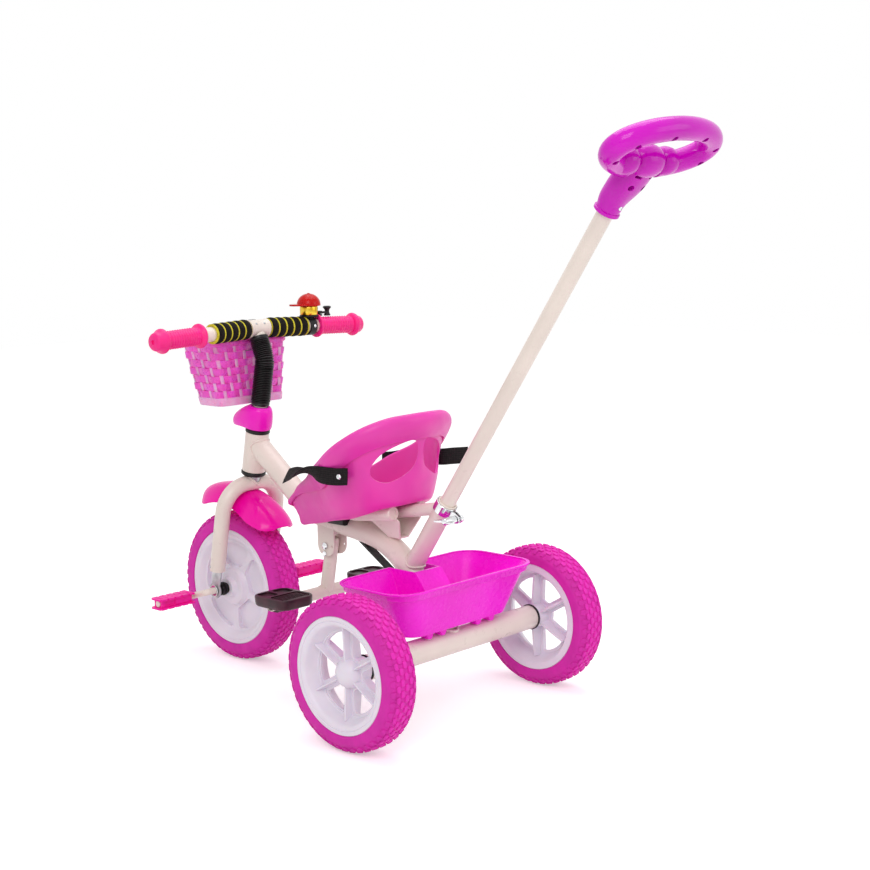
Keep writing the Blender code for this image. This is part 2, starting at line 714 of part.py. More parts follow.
def build_footrest(root):
    """The fork-shaped bracket under the main tube, and the footrest that folds back from it."""
    cheeks = []
    pairs = outline([(222, 196), (257, 196), (257, 262), (222, 262)], 16.5, 4)
    for y in (11.2, -13.6):
        cheeks.append(prism(pairs, y, y + 2.4))
    bridge = prism([(-13.0, 229.5), (13.0, 229.5), (13.0, 241.0), (-13.0, 241.0)], 226, 253, "x")
    bracket = add("footrest_bracket", bridge, "cream_paint", parent=root)
    boolean(bracket, merge(cheeks), "UNION")
    boolean(bracket, main_tube_shape(GAP))
    boolean(bracket, box(200, 280, -20, 20, 246.5, 300))
    holes = [
        rod((FOLD_X, -30, FOLD_Z), (FOLD_X, 30, FOLD_Z), 3.4, 12),
        rod((241.5, -30, 199.8), (241.5, 30, 199.8), 2.9, 10),
        rod((226.5, -30, 212.4), (226.5, 30, 212.4), 2.0, 8),
    ]
    boolean(bracket, merge(holes))
    bolt = [(0, 17.6), (5.4, 17.2), (5.4, 14.0), (3.0, 14.0)]
    bolt = bolt + [(r, -h) for r, h in reversed(bolt)]
    add("footrest_pivot_bolt", turned(bolt, 8), "chrome", (FOLD_X, 0, FOLD_Z), LEFTWARD, root)
    pin = [(0, 17.0), (4.4, 16.6), (4.4, 14.0), (2.5, 14.0)]
    pin = pin + [(r, -h) for r, h in reversed(pin)]
    add("footrest_lock_pin", turned(pin, 8), "chrome", (241.5, 0, 199.8), LEFTWARD, root)

    fold = pivot("footrest_fold_axis", (FOLD_X, 0, FOLD_Z), root)
    top = Vector((FOLD_X - 1.5, 0.0, FOLD_Z + 9.0))
    foot = Vector((CROSS_X, 0.0, CROSS_Z))
    pairs = circle(1.0, 14)
    oval = [(a * 9.6, b * 10.5) for a, b in pairs]
    spine = (foot - top).normalized()
    path = [top - spine * 2.5, top, top + spine * 6, foot - spine * 2]
    post = sweep(path, oval, LEFTWARD, [0.72, 0.94, 1.0, 1.0])
    post = add("footrest_post", post, "cream_paint", (FOLD_X, 0, FOLD_Z), None, fold)
    boolean(post, rod((CROSS_X, -30, CROSS_Z), (CROSS_X, 30, CROSS_Z), CROSS_R + GAP, 14))
    boolean(post, rod((FOLD_X, -30, FOLD_Z), (FOLD_X, 30, FOLD_Z), 3.3, 10))
    # Curved notch that lets the post swing past the lock pin
    reach = math.hypot(1.5, 12.2)
    start = math.atan2(-12.2, 1.5)
    path = []
    for k in range(7):
        angle = start + math.radians(-16 + 18 * k)
        path.append(Vector((FOLD_X + reach * math.cos(angle), 0.0, FOLD_Z + reach * math.sin(angle))))
    section = [(-15, -3.2), (15, -3.2), (15, 3.2), (-15, 3.2)]
    boolean(post, sweep(path, section, LEFTWARD))

    tube = mirrored([(CROSS_R - 1.6, 112.0), (CROSS_R, 112.0)])
    at = (CROSS_X, 0, CROSS_Z)
    add("footrest_cross_tube", turned(tube, 14, True), "cream_paint", at, LEFTWARD, fold)
    for name, hand in (("footrest_pad_left", 1), ("footrest_pad_right", -1)):
        corners = [(210, 60), (284, 60), (284, 127), (210, 127)]
        pairs = [(x, y * hand) for x, y in outline(corners, 11.0, 2)]
        rings = []
        for z, inset in ((PAD_TOP - 17, 4.0), (PAD_TOP - 2, 0.0), (PAD_TOP, 1.6)):
            middle = Vector((247.0, 93.5 * hand, 0.0))
            ring = []
            for x, y in pairs:
                shrink = 1.0 - inset / 36.0
                ring.append(middle + Vector(((x - 247.0) * shrink, (y - 93.5 * hand) * shrink, z)))
            rings.append(ring)
        pad = add(name, skin(bmesh.new(), rings), "brown_black", at, None, fold)
        # Tread: five grooves across the top
        grooves = []
        for k in range(5):
            x = 221.0 + 13.0 * k
            groove = [(x - 4.2, 68), (x + 4.2, 68), (x + 4.2, 119), (x - 4.2, 119)]
            grooves.append(prism([(a, b * hand) for a, b in groove], PAD_TOP - 2.4, PAD_TOP + 3, "z"))
        boolean(pad, merge(grooves))
        ends = ((CROSS_X, 50 * hand, CROSS_Z), (CROSS_X, 113 * hand, CROSS_Z))
        boolean(pad, rod(ends[0], ends[1], CROSS_R + GAP, 14))
        under = [(217, 67), (240, 67), (240, 120), (217, 120)]
        boolean(pad, prism([(a, b * hand) for a, b in under], PAD_TOP - 20, PAD_TOP - 6, "z"))


def tyre(radius, half, seat, well):
    """A moulded tyre: rounded shoulders outside, and a groove inside that the rim fills."""
    shoulder = 14.0
    upper = [(well, half - 7.0), (seat, half - 6.0), (seat, half), (radius - shoulder, half)]
    turn = math.radians(46)
    upper.append((radius - shoulder + shoulder * math.cos(turn), half - shoulder + shoulder * math.sin(turn)))
    upper.append((radius, half - shoulder - 1.0))
    return mirrored(upper)


def build_rear_wheel(name, hand, root):
    """One rear wheel: a foam tyre on a six-spoke moulded rim, on its own bearing."""
    centre = Vector((0.0, REAR_WHEEL_Y * hand, REAR_WHEEL_R))
    outward = LEFTWARD * hand
    hub = pivot("rear_wheel_" + name + "_axis", centre, root)
    band = turned(tyre(REAR_WHEEL_R, REAR_TYRE_HALF, REAR_RIM_R + 0.6, 74.4), 28, True)
    add("rear_tyre_" + name, band, "magenta_tyre", centre, outward, hub)
    profile = [
        (0.0, 13.4), (10.0, 12.2), (18.0, 2.0), (58.0, 2.0), (66.5, 23.2),
        (REAR_RIM_R, 23.2), (REAR_RIM_R, 18.2), (73.7, 17.2), (73.7, -17.2), (REAR_RIM_R, -18.2),
        (REAR_RIM_R, -23.2), (69.0, -23.2), (61.0, -2.2), (18.0, -2.2), (17.0, -24.0),
        (ROD_R + 0.6, -24.0), (ROD_R + 0.6, 7.6), (0.0, 7.6),
    ]
    rim = add("rear_rim_" + name, turned(profile, 20), "lavender_rim", centre, outward, hub)
    # Six see-through openings. One spoke points straight up
    up = math.pi / 2.0
    cuts = []
    for k in range(6):
        start = up + math.tau * k / 6
        shape = sector(start, start + math.tau / 6, 24.0, 55.0, 7.0, 3.5)
        cuts.append(prism(shape, -12, 12, "z"))
    boolean(rim, merge(cuts), "DIFFERENCE", centre, outward)
    # A stiffening rib behind each spoke
    ribs = []
    for k in range(6):
        turn = up + math.tau * k / 6
        along = Vector((math.cos(turn), math.sin(turn), 0.0))
        across = Vector((-math.sin(turn), math.cos(turn), 0.0))
        rings = []
        for radius, depth in ((15.0, -19.0), (60.5, -13.0)):
            ring = []
            for a, b in ((-2.4, depth), (2.4, depth), (2.4, 0.0), (-2.4, 0.0)):
                ring.append(along * radius + across * a + UPWARD * b)
            rings.append(ring)
        ribs.append(skin(bmesh.new(), rings))
    boolean(rim, merge(ribs), "UNION", centre, outward)


def build_front_wheel(steering):
    """The driven front wheel, with its one-piece axle and cranks, and the two pedals."""
    hub = pivot("front_wheel_axis", WHEEL_CENTRE, steering)
    band = turned(tyre(FRONT_WHEEL_R, FRONT_TYRE_HALF, FRONT_RIM_R + 0.8, 87.3), 28, True)
    add("front_tyre", band, "magenta_tyre", WHEEL_CENTRE, LEFTWARD, hub)
    profile = [
        (ROD_R + 0.6, 33.0), (15.5, 33.0), (18.0, 24.5), (29.0, 15.0), (73.0, 15.0),
        (79.5, 23.6), (FRONT_RIM_R, 23.6), (FRONT_RIM_R, 19.3), (86.5, 18.3),
    ]
    rim = turned(mirrored(profile), 20, True)
    rim = add("front_rim", rim, "lavender_rim", WHEEL_CENTRE, LEFTWARD, hub)
    # Five closed pockets in each face
    cuts = []
    for low, high in ((5.0, 20.0), (-20.0, -5.0)):
        for k in range(5):
            start = math.pi / 2.0 + math.tau * k / 5
            shape = sector(start, start + math.tau / 5, 38.0, 69.0, 8.5, 4.5)
            cuts.append(prism(shape, low, high, "z"))
    boolean(rim, merge(cuts), "DIFFERENCE", WHEEL_CENTRE, LEFTWARD)

    throw = Vector((math.cos(CRANK_DROP), 0.0, -math.sin(CRANK_DROP))) * CRANK_LENGTH
    stops = [
        WHEEL_CENTRE - throw - LEFTWARD * (PEDAL_OUTER - 4),
        WHEEL_CENTRE - throw - LEFTWARD * CRANK_Y,
        WHEEL_CENTRE - LEFTWARD * CRANK_Y,
        WHEEL_CENTRE + LEFTWARD * CRANK_Y,
        WHEEL_CENTRE + throw + LEFTWARD * CRANK_Y,
        WHEEL_CENTRE + throw + LEFTWARD * (PEDAL_OUTER - 4),
    ]
    side = Vector((math.sin(CRANK_DROP), 0.0, math.cos(CRANK_DROP)))
    crank = sweep(rounded(stops, 6.5, 2), circle(ROD_R, 10), side)
    add("crank_axle", crank, "zinc", WHEEL_CENTRE, None, hub)
    for name, hand in (("left", 1), ("right", -1)):
        bush = [(ROD_R + 0.6, 9.3), (8.6, 9.3), (10.0, 6.0), (10.0, -9.3), (ROD_R + 0.6, -9.3)]
        spacer = turned(bush, 10, True)
        place = WHEEL_CENTRE + LEFTWARD * (hand * 43.0)
        add("front_bush_" + name, spacer, "black_plastic", place, LEFTWARD * hand, hub)
        pin = WHEEL_CENTRE + throw * hand
        build_pedal(name, hand, pin, hub)


def build_pedal(name, hand, pin, hub):
    """A block pedal with two toothed tread bars on a bored core."""
    turning = pivot("pedal_" + name + "_axis", pin, hub)
    corners = [(pin.x + a * 13.5, pin.z + b * 8.5) for a, b in ((-1, -1), (1, -1), (1, 1), (-1, 1))]
    pairs = outline(corners, 3.0, 2)
    inner = min(PEDAL_INNER * hand, PEDAL_OUTER * hand)
    outer = max(PEDAL_INNER * hand, PEDAL_OUTER * hand)
    pedal = add("pedal_" + name, prism(pairs, inner, outer), "hot_pink", pin, None, turning)
    low = Vector((pin.x, (PEDAL_INNER - 3) * hand, pin.z))
    high = Vector((pin.x, (PEDAL_OUTER - 3) * hand, pin.z))
    boolean(pedal, rod(low, high, ROD_R + 0.6, 12))
    cuts = []
    for k in range(3):
        start = PEDAL_INNER + 5.5 + 20.0 * k
        for x in (-9.9, 7.1):
            ends = sorted((start * hand, (start + 15.5) * hand))
            cuts.append(box(pin.x + x, pin.x + x + 2.8, ends[0], ends[1], pin.z - 12, pin.z + 12))
    boolean(pedal, merge(cuts))


def build_fork(steering):
    """Steerer, fork, its two dropouts and the fender between the legs."""
    legs = [
        steer(0, FORK_LEG_Y, FORK_FOOT),
        steer(0, FORK_LEG_Y, FORK_CROWN),
        steer(0, -FORK_LEG_Y, FORK_CROWN),
        steer(0, -FORK_LEG_Y, FORK_FOOT),
    ]
    side = steer(1, 0, 0) - steer(0, 0, 0)
    fork = sweep(rounded(legs, FORK_BEND, 4), circle(FORK_TUBE_R, 12), side)
    fork = add("fork_tube", fork, "cream_paint", WHEEL_CENTRE, None, steering)
    legs[0] = steer(0, FORK_LEG_Y, FORK_FOOT - 4)
    legs[3] = steer(0, -FORK_LEG_Y, FORK_FOOT - 4)
    boolean(fork, sweep(rounded(legs, FORK_BEND, 4), circle(FORK_TUBE_R - 1.8, 8), side))
    wall = [(STEM_R + GAP, 125.0), (FORK_TUBE_R, 125.0), (FORK_TUBE_R, 0.0), (STEM_R + GAP, 0.0)]
    steerer = turned(wall, 16, True)
    steerer = add("steerer_tube", steerer, "zinc", steer(0, 0, FORK_CROWN), STEER_UP, steering)
    boolean(steerer, rod(steer(0, -30, FORK_CROWN), steer(0, 30, FORK_CROWN), FORK_TUBE_R + GAP, 14))

    slots = []
    for name, hand in (("fork_dropout_left", 1), ("fork_dropout_right", -1)):
        points = []
        for k in range(11):
            angle = math.radians(130.0 + 280.0 * k / 10)
            points.append((13.0 * math.cos(angle), 13.0 * math.sin(angle)))
        points = [(-9.0, 48.0), (-10.0, 24.0)] + points + [(10.0, 24.0), (9.0, 48.0)]
        rings = []
        slot = []
        for level, wide in ((-1.5, -1.9), (1.5, 1.9)):
            y = FORK_LEG_Y * hand
            rings.append([steer(a, y + level, b) for a, b in points])
            tall = [(-14, 20), (14, 20), (14, 48.6), (-14, 48.6)]
            slot.append([steer(a, y + wide, b) for a, b in tall])
        plate = add(name, skin(bmesh.new(), rings), "zinc", WHEEL_CENTRE, None, steering)
        y = FORK_LEG_Y * hand
        boolean(plate, rod(steer(0, y - 5, 0), steer(0, y + 5, 0), ROD_R + GAP, 16))
        slots.append(skin(bmesh.new(), slot))
    boolean(fork, merge(slots))

    # Fender: a crowned strip that arches over the tyre, waisted where it passes the fork
    stations = [
        (134.0, 149.0, 14.0, 2.0), (131.0, 150.5, 27.0, 5.0), (126.0, 152.0, 36.0, 9.0),
        (119.0, 154.5, 41.0, 13.0), (112.0, 157.0, 40.0, 13.0), (106.0, 158.3, 35.0, 10.0),
        (98.0, 159.0, 35.0, 10.0), (91.0, 161.5, 39.0, 12.0), (83.0, 164.5, 41.0, 13.0),
        (75.0, 165.5, 40.5, 13.0), (68.0, 164.0, 37.0, 11.0), (63.0, 161.5, 30.0, 7.0),
        (60.0, 159.0, 17.0, 3.0),
    ]
    rows = []
    for angle, radius, half, droop in stations:
        row = []
        for t in (-1.0, -0.85, -0.5, 0.0, 0.5, 0.85, 1.0):
            fall = droop * abs(t) ** 3.2
            reach = radius - fall
            turn = math.radians(angle)
            row.append(WHEEL_CENTRE + Vector((reach * math.cos(turn), half * t, reach * math.sin(turn))))
        rows.append(row)
    bm = bmesh.new()
    made = [[bm.verts.new(point) for point in row] for row in rows]
    for low, high in zip(made, made[1:]):
        for i in range(len(low) - 1):
            bm.faces.new((low[i], low[i + 1], high[i + 1], high[i]))
    fender = add("front_fender", bm, "hot_pink", WHEEL_CENTRE, None, steering)
    mesh = fender.data
    if sum(face.normal.z for face in mesh.polygons) < 0:
        mesh.flip_normals()
    shell = fender.modifiers.new("wall", "SOLIDIFY")
    shell.thickness = 2.6 * MM
    shell.offset = -1.0
    shell.use_quality_normals = True


def bar_point(distance, hand):
    """A point on the handlebar's centreline."""
    ahead = Vector((BAR_END.x, BAR_END.y * hand, BAR_END.z)) - BAR_MIDDLE
    return BAR_MIDDLE + ahead.normalized() * distance


def build_headset(root, steering):
    """The two plastic bearing rings and the pink cover above them."""
    low = [(12.4, -7.0), (17.2, -7.0), (19.0, -5.0), (19.0, -GAP), (13.7, -GAP), (13.7, 9.0), (12.4, 9.0)]
    ring = turned(low, 14, True)
    add("headset_ring_lower", ring, "black_plastic", steer(0, 0, HEAD_TUBE_LOW), STEER_UP, root)
    high = [(12.4, -9.0), (13.7, -9.0), (13.7, GAP), (19.0, GAP), (19.0, 4.6), (17.6, 6.0), (12.4, 6.0)]
    ring = turned(high, 14, True)
    add("headset_ring_upper", ring, "black_plastic", steer(0, 0, HEAD_TUBE_HIGH), STEER_UP, root)
    cover = [
        (12.7, 0.0), (19.6, 0.0), (20.2, 3.0), (19.4, 12.0), (16.6, 30.0), (16.9, 33.0),
        (15.8, 35.4), (12.7, 35.4),
    ]
    cap = turned(cover, 18, True)
    cap = add("steering_cap", cap, "hot_pink", steer(0, 0, HEAD_TUBE_HIGH + 6.6), STEER_UP, steering)
    # The cover's front hood
    nose = [Vector((404, 0, 392)), Vector((430, 0, 388)), Vector((446, 0, 381)), Vector((454.5, 0, 376.5))]
    hood = sweep(nose, circle(1.0, 12), LEFTWARD, [15.5, 13.0, 9.0, 3.0])
    flat = steer(0, 0, HEAD_TUBE_HIGH + 6.6)
    boolean(cap, hood, "UNION")
    boolean(cap, rod(flat - STEER_UP * 4, flat + STEER_UP * 60, 12.9, 18))
    boolean(cap, rod(flat - STEER_UP * 16, flat + STEER_UP * 0.2, 21.5, 14))


def stem_path(low):
    """The stem's centreline, from inside the steerer up to the handlebar."""
    straight = [steer(0, 0, low), steer(0, 0, 345.0)]
    bend = [steer(0, 0, 358.0), steer(0.5, 0, 370.0), Vector((383.2, 0, 493.0)), Vector((388.4, 0, 506.0))]
    return smooth(straight + bend + [BAR_MIDDLE.copy()], 2)


def build_handlebar(steering):
    """Stem, ribbed hose, handlebar, grips and foams."""
    stem = sweep(stem_path(225.0), circle(STEM_R, 12), LEFTWARD)
    stem = add("stem_tube", stem, "cream_paint", WHEEL_CENTRE, None, steering)
    sleeve_r = 13.0
    boolean(stem, rod(BAR_MIDDLE - LEFTWARD * 30, BAR_MIDDLE + LEFTWARD * 30, 14.4, 18))

    # Ribbed hose: a plain collar at each end, and ribs of alternating radius between
    whole = stem_path(299.0)
    line = evenly(whole, 200, False)
    stop = 0
    while stop < 199 and (line[stop] - BAR_MIDDLE).length > sleeve_r + 1.2:
        stop += 1
    line = line[: stop + 1]
    count = HOSE_RIBS * 2
    path = evenly(line, count + 6, False)
    scales = []
    for i in range(len(path)):
        if i < 3 or i > len(path) - 3:
            scales.append(14.0)
        else:
            scales.append(HOSE_R if i % 2 else HOSE_R - 1.4)
    hose = sweep(path, circle(1.0, 8), LEFTWARD, scales)
    hose = add("stem_hose", hose, "black_plastic", WHEEL_CENTRE, None, steering)
    boolean(hose, sweep(stem_path(290.0), circle(STEM_R + 1.3, 8), LEFTWARD))
    boolean(hose, rod(BAR_MIDDLE - LEFTWARD * 30, BAR_MIDDLE + LEFTWARD * 30, 14.8, 18))

    ends = [bar_point(BAR_END.y, 1), BAR_MIDDLE.copy(), bar_point(BAR_END.y, -1)]
    bar = sweep(ends, circle(BAR_R, 16), UPWARD)
    bar = add("handlebar_tube", bar, "cream_paint", BAR_MIDDLE, None, steering)
    bore = [bar_point(BAR_END.y + 2, 1), BAR_MIDDLE.copy(), bar_point(BAR_END.y + 2, -1)]
    boolean(bar, sweep(bore, circle(BAR_R - 1.5, 12), UPWARD))
    stops = [bar_point(19.5, 1), bar_point(16.5, 1), bar_point(15.5, 1), BAR_MIDDLE.copy()]
    stops += [bar_point(15.5, -1), bar_point(16.5, -1), bar_point(19.5, -1)]
    radii = [14.2, 14.2, sleeve_r, sleeve_r, sleeve_r, 14.2, 14.2]
    sleeve = sweep(stops, circle(1.0, 12), UPWARD, radii)
    sleeve = add("bar_sleeve", sleeve, "cream_paint", BAR_MIDDLE, None, steering)
    bore = [bar_point(30.0, 1), BAR_MIDDLE.copy(), bar_point(30.0, -1)]
    boolean(sleeve, sweep(bore, circle(BAR_R + 0.7, 12), UPWARD))
    for name, hand in (("left", 1), ("right", -1)):
        ahead = (bar_point(1, hand) - BAR_MIDDLE).normalized()
        bore = BAR_R + 0.6
        foam = [(bore, 21.2), (14.6, 21.2), (15.5, 22.4), (15.5, 91.6), (14.6, 92.8), (bore, 92.8)]
        add("foam_" + name, turned(foam, 12, True), "black_foam", BAR_MIDDLE, ahead, steering)
        length = BAR_END.y
        grip = [(0.0, length + 0.7), (bore, length + 0.7), (bore, 116.0), (17.5, 116.0), (18.5, 117.6)]
        grip += [(17.5, 121.0), (13.0, 123.0)]
        grip += [(13.0, 187.0), (17.5, 189.0), (18.5, 192.0), (14.5, 199.0), (13.4, 204.0), (0.0, 208.0)]
        add("grip_" + name, turned(grip, 12), "hot_pink", BAR_MIDDLE, ahead, steering)


def build_basket(steering):
    """The staved basket in front of the handlebar, and the plate that hangs it there."""
    rings = [
        plate_ring(415.0, 459.0, 49, 14, 413.0),
        plate_ring(412.6, 463.0, 52.5, 15, 416.5),
        plate_ring(408.6, 488.0, 67.5, 19, 508.0),
        plate_ring(406.8, 490.5, 70.0, 21, 509.0),
        plate_ring(406.8, 491.5, 70.5, 21, 515.0),
    ]
    basket = add("basket", skin(bmesh.new(), rings), "basket_pink", WHEEL_CENTRE, None, steering)
    rings = [
        plate_ring(416.0, 459.5, 49, 12.5, 418.0),
        plate_ring(411.2, 485.8, 65.0, 17, 509.0),
        plate_ring(410.8, 486.2, 65.5, 17, 520.0),
    ]
    boolean(basket, skin(bmesh.new(), rings))
    # Upright slots between the staves, in two rows
    cuts = []
    rows = ((431.0, 464.0), (469.0, 502.0))
    for low, high in rows:
        for k in range(7):
            y = (k - 3) * 13.0
            cuts.append(box(440.0, 520.0, y - 3.5, y + 3.5, low, high))
    boolean(basket, merge(cuts))
    cuts = []
    for low, high in rows:
        for k in range(3):
            x = 428.0 + 12.0 * k
            cuts.append(box(x, x + 6.0, -90.0, 90.0, low, high))
    boolean(basket, merge(cuts))
    plate = outline([(-15, 492), (15, 492), (15, 543), (-15, 543)], 4.0, 3)
    hanger = add("basket_hanger", prism(plate, 412.7, 414.7, "x"), "zinc", WHEEL_CENTRE, None, steering)
    boolean(hanger, rod(BAR_MIDDLE - LEFTWARD * 30, BAR_MIDDLE + LEFTWARD * 30, 14.2 + GAP, 16))


def build_bell(steering):
    """The bell on the right of the bar: a clamped base, a brass drum, a red cap and a thumb lever."""
    place = bar_point(104.0, -1)
    ahead = (bar_point(1, -1) - BAR_MIDDLE).normalized()
    clamp = turned(mirrored([(BAR_R + 0.7, 6.0), (14.6, 6.0)]), 14, True)
    base = add("bell_base", clamp, "black_plastic", place, ahead, steering)
    neck = turned([(0.0, 12.6), (7.0, 12.6), (8.0, 17.0), (15.0, 18.6), (15.0, 21.0), (0.0, 21.0)], 12)
    boolean(base, neck, "UNION", place, UPWARD)
    arm = merge([box(place.x - 5, place.x + 5, place.y - 26, place.y - 6, place.z + 18.9, place.z + 21.2)])
    boolean(base, arm, "UNION")
    hinge = Vector((place.x, place.y - 22.0, place.z + 24.4))
    boolean(base, rod(hinge - UPWARD * 7, hinge + UPWARD * 3, 2.5, 10))
    centre = place + Vector((0.0, 0.0, 21.5))
    drum = turned([(0.0, 0.0), (12.5, 0.0), (14.2, 2.0), (14.2, 6.0), (12.0, 8.0), (0.0, 8.0)], 16)
    add("bell_drum", drum, "brass", centre, UPWARD, steering)
    dome = []
    for k in range(5):
        angle = math.radians(90.0 * k / 4)
        dome.append((18.8 * math.cos(angle), 2.0 + 13.2 * math.sin(angle)))
    dome[-1] = (0.0, 15.2)
    shell = [(0.0, 0.0), (18.0, 0.0)] + dome
    top = centre + UPWARD * 8.3
    cap = add("bell_cap", turned(shell, 18), "red_paint", top, UPWARD, steering)
    visor = []
    for k in range(9):
        angle = math.radians(-62 + 124 * k / 8)
        visor.append((top.x + 15.5 * math.sin(angle), top.y + 16.0 + 21.0 * math.cos(angle)))
    visor = [(top.x - 12.0, top.y + 6.0)] + visor + [(top.x + 12.0, top.y + 6.0)]
    boolean(cap, prism(visor, top.z + 1.0, top.z + 3.6, "z"), "UNION")

    turning = pivot("bell_lever_axis", hinge, steering)
    hub = turned([(0, 2.0), (4.6, 2.0), (4.6, -2.6), (2.1, -2.6), (2.1, -5.2), (0, -5.2)], 14)
    lever = add("bell_lever", hub, "black_plastic", hinge, UPWARD, turning)
    tongue = box(hinge.x - 2.2, hinge.x + 2.2, hinge.y - 16, hinge.y - 2, hinge.z - 2.4, hinge.z + 0.8)
    boolean(lever, tongue, "UNION")
    corners = [(-7.5, -20.0), (7.5, -20.0), (7.5, -13.5), (-7.5, -13.5)]
    pad = outline([(hinge.x + a, hinge.y + b) for a, b in corners], 2.5, 2)
    boolean(lever, prism(pad, hinge.z - 5.0, hinge.z + 2.4, "z"), "UNION")


def build_push_handle(root):
    """The pole that slides in the socket, its handle neck, and the ring that tilts on it."""
    slide = pivot("push_pole_axis", POLE_LOW, root)
    foot = 30.0
    head = 638.0
    bore = POLE_R - 1.4
    pole = [(0, head), (POLE_R, head), (POLE_R, foot), (bore, foot), (bore, head - 12), (0, head - 12)]
    add("push_pole", turned(pole, 18), "cream_paint", POLE_LOW, POLE_AXIS, slide)

    # Neck: a socket on the pole that widens to the hinge barrel
    collar = POLE_LOW + POLE_AXIS * 585.0
    hinge = HANDLE_HINGE
    lower = POLE_LOW + POLE_AXIS * 600.0
    waist = POLE_LOW + POLE_AXIS * 618.0
    path = [collar, lower, waist, waist.lerp(hinge, 0.45), hinge]
    wide = [15.2, 16.0, 18.5, 24.0, 29.5]
    deep = [15.2, 15.6, 17.0, 18.0, 15.0]
    rings = []
    for i, point in enumerate(path):
        before = path[max(i - 1, 0)]
        after = path[min(i + 1, len(path) - 1)]
        ahead = (after - before).normalized()
        second = ahead.cross(LEFTWARD)
        ring = []
        for k in range(12):
            angle = math.tau * k / 12
            c = math.cos(angle)
            s = math.sin(angle)
            square = 1.0 + 0.10 * (i / 4.0) * (1.0 - abs(abs(c) - abs(s)))
            ring.append(point + LEFTWARD * (wide[i] * c * square) + second * (deep[i] * s * square))
        rings.append(ring)
    neck = add("handle_neck", skin(bmesh.new(), rings), "violet_handle", hinge, None, slide)
    half = LEFTWARD * HANDLE_BARREL_HALF
    boolean(neck, rod(hinge - half, hinge + half, HANDLE_BARREL_R, 14), "UNION")
    boolean(neck, rod(hinge - LEFTWARD * 43, hinge + LEFTWARD * 43, 5.0, 12), "UNION")
    slabs = []
    for hand in (1, -1):
        ends = sorted((30.0 * hand, 60.0 * hand))
        block = box(hinge.x - 60, hinge.x + 70, ends[0], ends[1], hinge.z - 80, hinge.z + 60)
        slabs.append(block)
    # The cheeks are flat, and the trunnions stay proud of them
    tool = boolean(neck, merge(slabs))
    boolean(tool, rod(hinge - LEFTWARD * 43, hinge + LEFTWARD * 43, 5.0, 12))
    boolean(neck, rod(POLE_LOW + POLE_AXIS * 560, POLE_LOW + POLE_AXIS * (head + 0.4), POLE_R + 0.5, 18))

    tilt = pivot("handle_tilt_axis", hinge, slide)
    rear = Vector((-math.cos(HANDLE_TILT), 0.0, math.sin(HANDLE_TILT)))
    path = []
    for k in range(21):
        angle = math.radians(-160.0 + 320.0 * k / 20)
        reach = HANDLE_OFFSET + HANDLE_HALF_DEPTH * math.cos(angle)
        path.append(hinge + rear * reach + LEFTWARD * (HANDLE_HALF_WIDTH * math.sin(angle)))
    normal = rear.cross(LEFTWARD)
    section = circle(HANDLE_TUBE_R, 10)
    ring = add("handle_ring", sweep(path, section, normal), "violet_handle", hinge, None, tilt)
    clear = HANDLE_BARREL_HALF + 0.8
    faces = box(hinge.x - 60, hinge.x + 60, -clear, clear, hinge.z - 60, hinge.z + 60)
    eyes = []
    for hand in (1, -1):
        ends = (hinge + LEFTWARD * (31.2 * hand), hinge + LEFTWARD * (49.0 * hand))
        eyes.append(rod(ends[0], ends[1], 15.2, 16))
    boolean(ring, merge(eyes), "UNION")
    boolean(ring, faces)
    boolean(ring, rod(hinge - LEFTWARD * 44, hinge + LEFTWARD * 44, 5.6, 12))


def main():
    """Build the tricycle in its own frame."""
    clear_scene()
    root = pivot("tricycle", (0.0, 0.0, 0.0))
    steering = pivot("steering_axis", WHEEL_CENTRE, root)
    build_frame(root)
    build_seat_carrier(root)
    build_seat(root)
    build_belts(root)
    build_bin(root)
    build_clamp(root)
    build_footrest(root)
    build_rear_wheel("left", 1, root)
    build_rear_wheel("right", -1, root)
    build_fork(steering)
    build_front_wheel(steering)
    build_headset(root, steering)
    build_handlebar(steering)
    build_basket(steering)
    build_bell(steering)
    build_push_handle(root)


main()
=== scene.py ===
"""The looks of a children's tricycle with a push pole, dressed around its frame.

Lengths are millimetres from the rear axle and the ground: X forward, Y to the rider's left, Z up.
piece() turns them into the frame's metres as it makes each finished object.
"""

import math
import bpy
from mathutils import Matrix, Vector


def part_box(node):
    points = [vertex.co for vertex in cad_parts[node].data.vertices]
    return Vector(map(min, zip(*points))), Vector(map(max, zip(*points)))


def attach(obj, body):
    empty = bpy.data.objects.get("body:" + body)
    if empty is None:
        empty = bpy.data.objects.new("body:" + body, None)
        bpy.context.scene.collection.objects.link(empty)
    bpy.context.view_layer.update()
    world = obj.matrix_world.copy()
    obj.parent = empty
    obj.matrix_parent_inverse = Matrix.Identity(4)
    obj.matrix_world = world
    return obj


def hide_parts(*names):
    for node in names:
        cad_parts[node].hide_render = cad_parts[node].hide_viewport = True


bl_info = {
    "name": "Push-pole tricycle",
    "version": (1, 0, 0),
    "blender": (4, 5, 0),
    "location": "3D View > Sidebar > Tricycle",
    "description": "Dresses the frame of a children's tricycle with finished pieces",
    "category": "Object",
}

import bmesh
import bpy
from bpy.props import FloatProperty, FloatVectorProperty, IntProperty, PointerProperty
from mathutils import Matrix, Vector

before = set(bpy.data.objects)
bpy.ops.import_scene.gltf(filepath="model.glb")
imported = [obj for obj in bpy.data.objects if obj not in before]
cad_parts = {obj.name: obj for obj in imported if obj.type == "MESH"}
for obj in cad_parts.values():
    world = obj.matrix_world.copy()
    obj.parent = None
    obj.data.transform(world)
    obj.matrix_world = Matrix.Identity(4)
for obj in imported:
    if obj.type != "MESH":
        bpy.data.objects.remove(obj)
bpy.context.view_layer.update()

MM = 0.001
UP = Vector((0.0, 0.0, 1.0))
LEFT = Vector((0.0, 1.0, 0.0))


